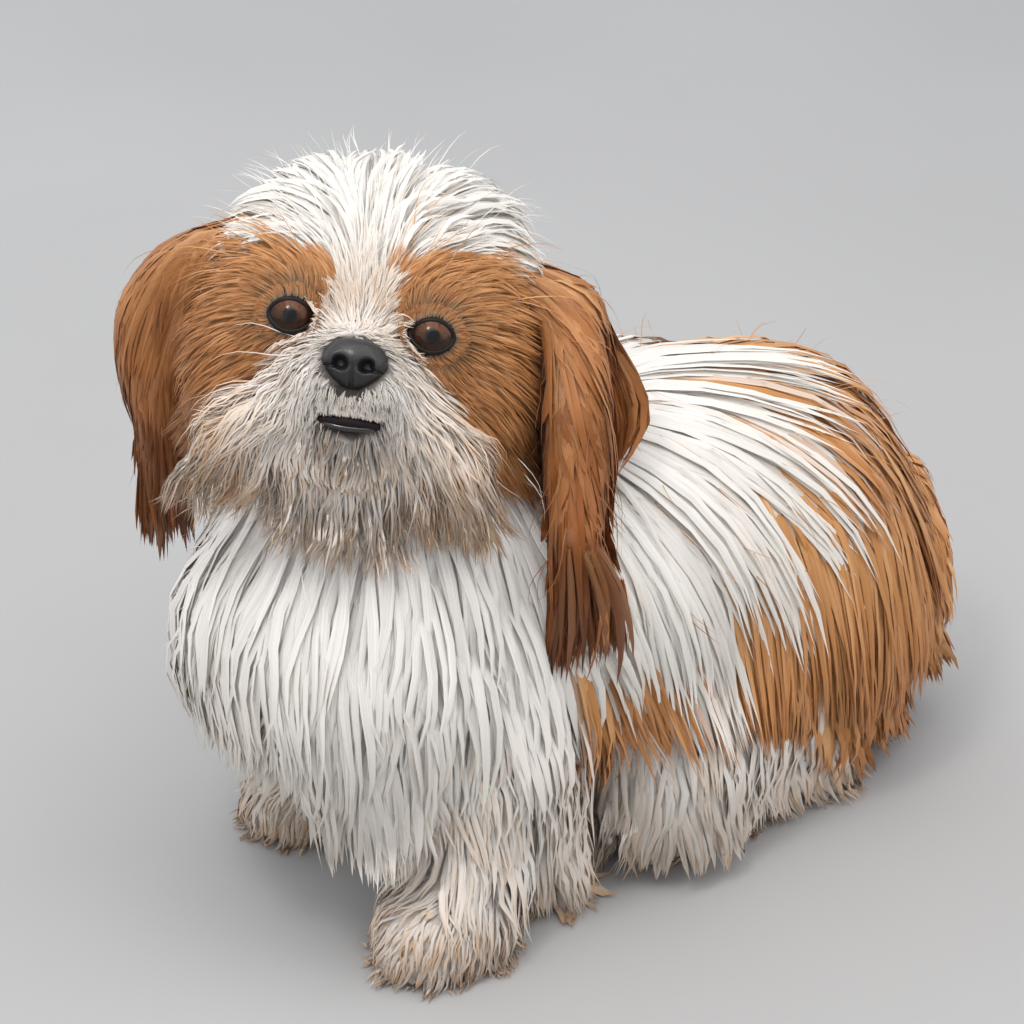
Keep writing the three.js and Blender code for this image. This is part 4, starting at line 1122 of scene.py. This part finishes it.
local = head_frame(hide_centres)
near_eye = to_eyes(hide_centres)
near_nose = np.linalg.norm((local - NOSE_AT) / (11.8, 14, 9.6), axis=1)
near_mouth = np.hypot((local[:, 0] - MOUTH_AT[0]) / 12, (local[:, 2] - MOUTH_AT[2]) / 3.2)
BARE = step(near_eye, 0.0102, 0.0114) * step(near_nose, 0.9, 1.0)
BARE *= np.where(local[:, 1] < -45, step(near_mouth, 0.8, 1.0), 1.0)
ON_BODY = np.isin(hide_regions, ["torso", "neck"])
EAR_FACES = np.isin(hide_regions, ["ear_left", "ear_right"])
FACE_GUARDS = [([EYE_GUARD], 0), ([NOSE_GUARD], 0)]

# The undercoat: the short dense wool next to the skin, all over, in broad tufts with the colours of the hair
# above them, so that no gap between the long locks shows the hide.
DENSE = BARE * (1 + 1.2 * (local[:, 1] < -20) * (hide_regions == "skull"))


def under_lengths(places):
    face = 1 - step(np.linalg.norm(head_frame(places) - PETALS_FROM, axis=1), 20, 60)
    head = 1 - step(np.linalg.norm(head_frame(places) - (0, 0, -10), axis=1), 70, 90)
    low = (places[:, 1] < -0.18) * (1 - step(places[:, 2], 0.075, 0.12))
    return np.minimum(0.030 - 0.014 * head - 0.010 * face - 0.018 * low, places[:, 2] + 0.006)


coat("undercoat_tufts", 7500, DENSE, under_lengths, EVERY_BODY, "coat_white", clear=FACE_GUARDS, steps=3,
     lift=0.35, stray=0.10, droop=0.5, depth=(0.42, 0.74), widths=(0.0070, 0.0050), locks=((3, 0.1),),
     wave=0.001)

# The mask: the short fine hair of the face, red-gold round the eyes and white on the blaze. It stands out
# like petals from above the nose, and grows longer away from it.
from_petals = np.linalg.norm(local - PETALS_FROM, axis=1)
mask = (hide_regions == "skull") * (1 - step(local[:, 1], 6, 22)) * (1 - step(local[:, 2], 30, 42)) * BARE
mask *= 0.5 + 1.4 * (1 - step(from_petals, 18, 46)) + 2.0 * (1 - step(near_eye, 0.011, 0.018))


def dark_roots(path, dark):
    return dark * np.clip(1 - 1.1 * np.linspace(0, 1, path.shape[1]), 0, 1)


def mask_lengths(places):
    away = np.linalg.norm(head_frame(places) - PETALS_FROM, axis=1)
    return np.clip(4 + 0.30 * (away - 12) + 0.55 * (to_eyes(places) * 1000 - 12), 4.5, 36) / 1000


coat("coat_face", 8800, mask, mask_lengths, [SKULL, MUZZLE], "coat_face", FACE_HAIR, clear=FACE_GUARDS,
     steps=4, stray=0.07, droop=0.5, depth=(0.5, 1.1), widths=(0.0015, 0.0008),
     locks=((5, 0.45), (18, 0.35)), wave=0.0008, turns=0.6, tone=dark_roots)

# The hair of the lids: very short and fine, rooted on the lids themselves and lying away from each eye, dark
# at its roots, so that only the bare rims show.
LID_GUARD = ([cone(EYES[side], EYES[side], 12.1, 12.1, 0) for side in (1, -1)], 0.001)
coat("coat_lids", 1300, None, 0.0070, [SKULL, MUZZLE], "coat_face", FACE_HAIR, clear=[([LID_GUARD], 0)],
     steps=4, lift=0.1, stray=0.07, droop=0.1, depth=(0.9, 1.1), widths=(0.0017, 0.0012),
     locks=((4, 0.3),), wave=0.0003, tone=dark_roots, source=lid_roots)

# The fringe of the crown: long white hair that rises from the brows, parts down the middle, and falls to both
# sides and back over the roots of the ears.
crown = (hide_regions == "skull") * np.maximum(step(local[:, 2], 22, 34), step(local[:, 1], 0, 14))


def crown_lengths(places):
    own = head_frame(places)
    return (38 + 22 * step(own[:, 2], 18, 44) + 10 * step(own[:, 1], 10, 50)) / 1000


def near_parting(places):
    return 1 - step(np.abs(head_frame(places)[:, 0]), 5, 45)


coat("coat_crown", 3200, crown, crown_lengths, HEAD, "coat_white", clear=[([EYE_GUARD], 0), (EARS, 0.7)],
     lift=0.12, stray=0.05, droop=0.9, rank=near_parting, wave=0.0036, widths=(0.0046, 0.0026),
     locks=((5, 0.5), (20, 0.5)))

# The moustache and beard: wavy hair that falls outward from the nose and down from the chin, short and dark
# at its roots round the mouth.


def moustache_lengths(places):
    own = head_frame(places)
    nose = np.linalg.norm((own - NOSE_AT) * (1, 0.7, 1), axis=1)
    mouth = np.hypot((own[:, 0] - MOUTH_AT[0]) / 13, (own[:, 2] - MOUTH_AT[2] - 4) / 8)
    chin = step(-own[:, 2], 46, 60)
    length = np.clip(5 + 1.7 * (nose - 13), 5, 42 - 4 * chin) * (0.3 + 0.7 * step(mouth, 0.8, 2.2))
    above = (np.abs(own[:, 0] - MOUTH_AT[0]) < 13) & (own[:, 2] > -41)
    return np.minimum(np.maximum(length, 8.5), np.where(above, np.maximum(own[:, 2] + 39.5, 3.5), 60)) / 1000


snout = np.isin(hide_regions, ["muzzle", "chin"]) * BARE * (0.6 + 1.4 * (local[:, 1] < -40))
snout *= 1 + 2.5 * (1 - step(np.hypot(local[:, 0] - 1, local[:, 2] + 29), 10, 16)) * (local[:, 1] < -50)
coat("coat_muzzle", 5600, snout, moustache_lengths, HEAD, "coat_face", FACE_HAIR, steps=6,
     clear=[*FACE_GUARDS, ([MOUTH_GUARD], 0), ([NECK, TORSO], 0.6)], lift=0.35, droop=0.5, depth=(0.5, 1.1),
     widths=(0.0019, 0.0008), locks=((4, 0.5), (13, 0.4)), wave=0.0022, turns=1.1, tone=dark_roots)

# The ears' fringes: straight red-brown hair, rooted on both faces of each ear's leather. It falls far below
# the leather and is darker towards its tips.
for name, body, length, end in (("left", EAR_LEFT, 0.090, 0.146), ("right", EAR_RIGHT, 0.080, 0.150)):
    fringe = (hide_regions == f"ear_{name}") * 1.0
    high = hide_centres[fringe > 0][:, 2].max()
    fringe *= 1 + 3 * step(hide_centres[:, 2], high - 0.04, high)
    coat(f"coat_ear_{name}", 1900, fringe, length, [body], "coat_red", stray=0.05, droop=0.9, lift=0.1,
         clear=[([SKULL, CHIN], 0.85), ([NECK, TORSO], 0.95)], depth=(0.4, 0.95), widths=(0.0050, 0.0034),
         rank=lambda places: step(places[:, 2], high - 0.10, high - 0.01), wave=0.0018, turns=0.6, hem=end,
         tone=lambda path, dark: 0.12 * step(-path[:, :, 2], 0.10 - high, 0.21 - high))

# The coat of the body: white on the chest, and from the parting along the spine down both flanks. The hair of
# the spine is the longest, lies over the rest and ends at the hem.
trunk_side = hide_centres[:, 0] - SPINE_X


def high_roots(places):
    return step(places[:, 2], 0.09, 0.20)


def flank_lengths(places):
    return 0.050 + 0.135 * step(places[:, 2], 0.08, 0.225)


def flank_hem(points):
    return 0.012 + 0.070 * np.clip((0.04 - points[:, 1]) / 0.16, 0, 1)


def chest_lengths(places):
    return 0.030 + 0.085 * step(places[:, 2], 0.07, 0.19)


def chest_hem(points):
    return 0.106 - 0.064 * step(points[:, 0], 0.040, 0.058) - 0.02 * step(points[:, 1], -0.215, -0.185)


breast = ON_BODY * (1 - step(hide_centres[:, 1], -0.175, -0.150))
near_spine = 1 - step(np.abs(trunk_side), 0.015, 0.05)
saddle = ON_BODY * step(hide_centres[:, 1], -0.185, -0.160) * (1 + 2.5 * near_spine)
for name, half, on_chest, on_flank in (
    ("left", trunk_side > 0, 2700, 4600),
    ("right", trunk_side <= 0, 2500, 2600),
):
    coat(f"coat_chest_{name}", on_chest, breast * half, chest_lengths, TRUNK, "coat_white",
         clear=[(HEAD, 0.8)], lift=0.25, rank=high_roots, wave=0.0050, turns=1.0,
         locks=((4, 0.45), (18, 0.5)), hem=chest_hem)
    coat(f"coat_flank_{name}", on_flank, saddle * half, flank_lengths, TRUNK, "coat_red",
         clear=[(HEAD, 0.8)], lift=0.2, stray=0.05, rank=high_roots, wave=0.0018, turns=0.6,
         locks=((4, 0.45), (22, 0.45)), hem=flank_hem)

# The legs and feet: shorter wavy white hair, stained cream near the floor. It stands out round the legs, and
# hangs over the toes and hides the claws.


def leg_lengths(places):
    feather = (places[:, 1] < -0.12) * step(places[:, 1], -0.205, -0.170)
    long = 0.036 + (0.030 + 0.020 * feather) * step(places[:, 2], 0.03, 0.09)
    return np.minimum(long, places[:, 2] + 0.014 + 0.024 * feather)


def paw_lengths(places):
    return 0.018 + 0.010 * step(places[:, 2], 0.012, 0.035) + 0.008 * step(places[:, 1], -0.225, -0.205)


coat("coat_legs", 3000, (hide_regions == "legs") * 1.0, leg_lengths, TRUNK, "coat_white", steps=5, lift=0.35,
     stray=0.12, depth=(0.6, 1.2), widths=(0.0046, 0.0028), locks=((4, 0.5), (12, 0.5)), wave=0.0034,
     turns=1.2)
coat("coat_paws", 2400, (hide_regions == "paws") * 1.0, paw_lengths, PAWS, "coat_white", steps=4, lift=0.3,
     stray=0.16, widths=(0.0026, 0.0013), locks=((4, 0.5), (10, 0.5)), wave=0.0020, turns=1.0)

# The tail: a short plume, carried over the rump and down the left of it, red-gold with a white tip. Its hair
# hangs from the tail and is cut off level, clear of the floor.
coat("coat_tail", 1000, (hide_regions == "tail") * 1.0, 0.045, [TAIL], "coat_red", clear=[([TORSO], 0.8)],
     steps=5, lift=0.4, hem=0.035)

# The wisps: single long hairs that have come loose from the crown, the cheeks, the ears and the back. They
# stand out past the rest of the coat and bend over with their own weight.
loose = (hide_regions == "skull") * (local[:, 2] > 15) * 3.0
loose += (hide_regions == "muzzle") * (np.abs(local[:, 0]) > 14)
loose += EAR_FACES + ON_BODY * (hide_centres[:, 2] > 0.16) * 0.5
coat("coat_wisps", 700, loose * BARE, 0.042, EVERY_BODY, "coat_white", clear=FACE_GUARDS, lift=0.9,
     stray=0.35, droop=0.55, depth=(1.0, 1.5), widths=(0.0005, 0.0005), locks=((3, 0.0),), wave=0.004,
     turns=0.6)

# The floor: plain, pale and matt, with a faint cloudiness like plaster. It lies under the dog and isn't part
# of it.
FLOOR_HALF = 4.0
corners = [(x * FLOOR_HALF, y * FLOOR_HALF, 0) for x, y in ((-1, -1), (1, -1), (1, 1), (-1, 1))]
floor = shown("floor", mesh_of("floor", corners, [(0, 1, 2, 3)]))
pale, floor_tree, floor_skin = nodes_of("pale_floor")
cloud = noise(floor_tree, object_place(floor_tree), 3.0, 4.0)
pale_colour = mixed(floor_tree, cloud, (0.37, 0.365, 0.36, 1), (0.43, 0.425, 0.42, 1))
fill(floor_tree, floor_skin, {"Base Color": pale_colour, "Roughness": 0.9})
floor.data.materials.append(pale)

# The camera: where the photo's stood, above the dog and in front of its left shoulder. It is aimed so that
# the eyes come where the photo has them.
AZIMUTH, ELEVATION = math.radians(55), math.radians(31)
LOOK = np.array([-math.sin(AZIMUTH), math.cos(AZIMUTH), -math.tan(ELEVATION)]) * math.cos(ELEVATION)
RIGHT = np.array([math.cos(AZIMUTH), math.sin(AZIMUTH), 0.0])
UP = np.cross(RIGHT, LOOK)
FRAME_WIDTH, FOCAL = 1024, 3195  # both in pixels of the picture
SENSOR_WIDTH = 36
EYES_AT = np.array([0.026, -0.2385, 0.310])  # between the eyes
EYES_PIXEL = (361, 325)  # from the frame's top left
EYES_ON_FRAME = ((EYES_PIXEL[0] - FRAME_WIDTH / 2) / FOCAL, (FRAME_WIDTH / 2 - EYES_PIXEL[1]) / FOCAL)
DISTANCE = 1.31


def placed(side, over, back, at):
    return Matrix([[side[i], over[i], back[i], at[i]] for i in range(3)] + [[0, 0, 0, 1]])


lens = bpy.data.cameras.new("camera")
lens.sensor_width = SENSOR_WIDTH
lens.lens = SENSOR_WIDTH * FOCAL / FRAME_WIDTH
camera = shown("camera", lens)
camera_at = EYES_AT - (LOOK + EYES_ON_FRAME[0] * RIGHT + EYES_ON_FRAME[1] * UP) * DISTANCE
camera.matrix_world = placed(RIGHT, UP, -LOOK, camera_at)
bpy.context.scene.camera = camera


# The light: soft boxes above and on every side, as under a bright overcast sky, and a small bright window for
# the glint in the eyes.
def soft_light(name, at, towards, size, power, colour):
    """A square soft box that faces a point."""
    lamp = bpy.data.lights.new(name, "AREA")
    lamp.shape = "SQUARE"
    lamp.size = size
    lamp.energy = power
    lamp.color = colour
    back = unit(np.array(at) - np.array(towards))
    side = unit(np.cross([0.0, 0.0, 1.0], back))
    shown(name, lamp).matrix_world = placed(side, np.cross(back, side), back, at)


soft_light("sky", (0.4, -0.3, 1.9), (0.0, -0.12, 0.1), 1.6, 16, (1.0, 0.99, 0.97))
soft_light("front", (0.2, -1.7, 1.3), (0.0, -0.2, 0.2), 2.0, 6, (1.0, 0.98, 0.96))
soft_light("rear", (1.3, 1.1, 1.1), (0.0, 0.0, 0.1), 1.8, 10, (1.0, 0.97, 0.94))
soft_light("far_side", (-1.4, -0.5, 1.0), (0.0, -0.1, 0.15), 1.8, 7, (0.96, 0.98, 1.0))
soft_light("window", (0.289, -0.783, 1.462), (0.03, -0.24, 0.31), 0.24, 4.5, (1.0, 0.99, 0.98))

world = bpy.data.worlds.new("overcast")
world.use_nodes = True
sky = world.node_tree.nodes["Background"].inputs
sky["Color"].default_value = (0.92, 0.95, 1.0, 1)
sky["Strength"].default_value = 0.86
bpy.context.scene.world = world
bpy.context.scene.view_settings.view_transform = "Standard"
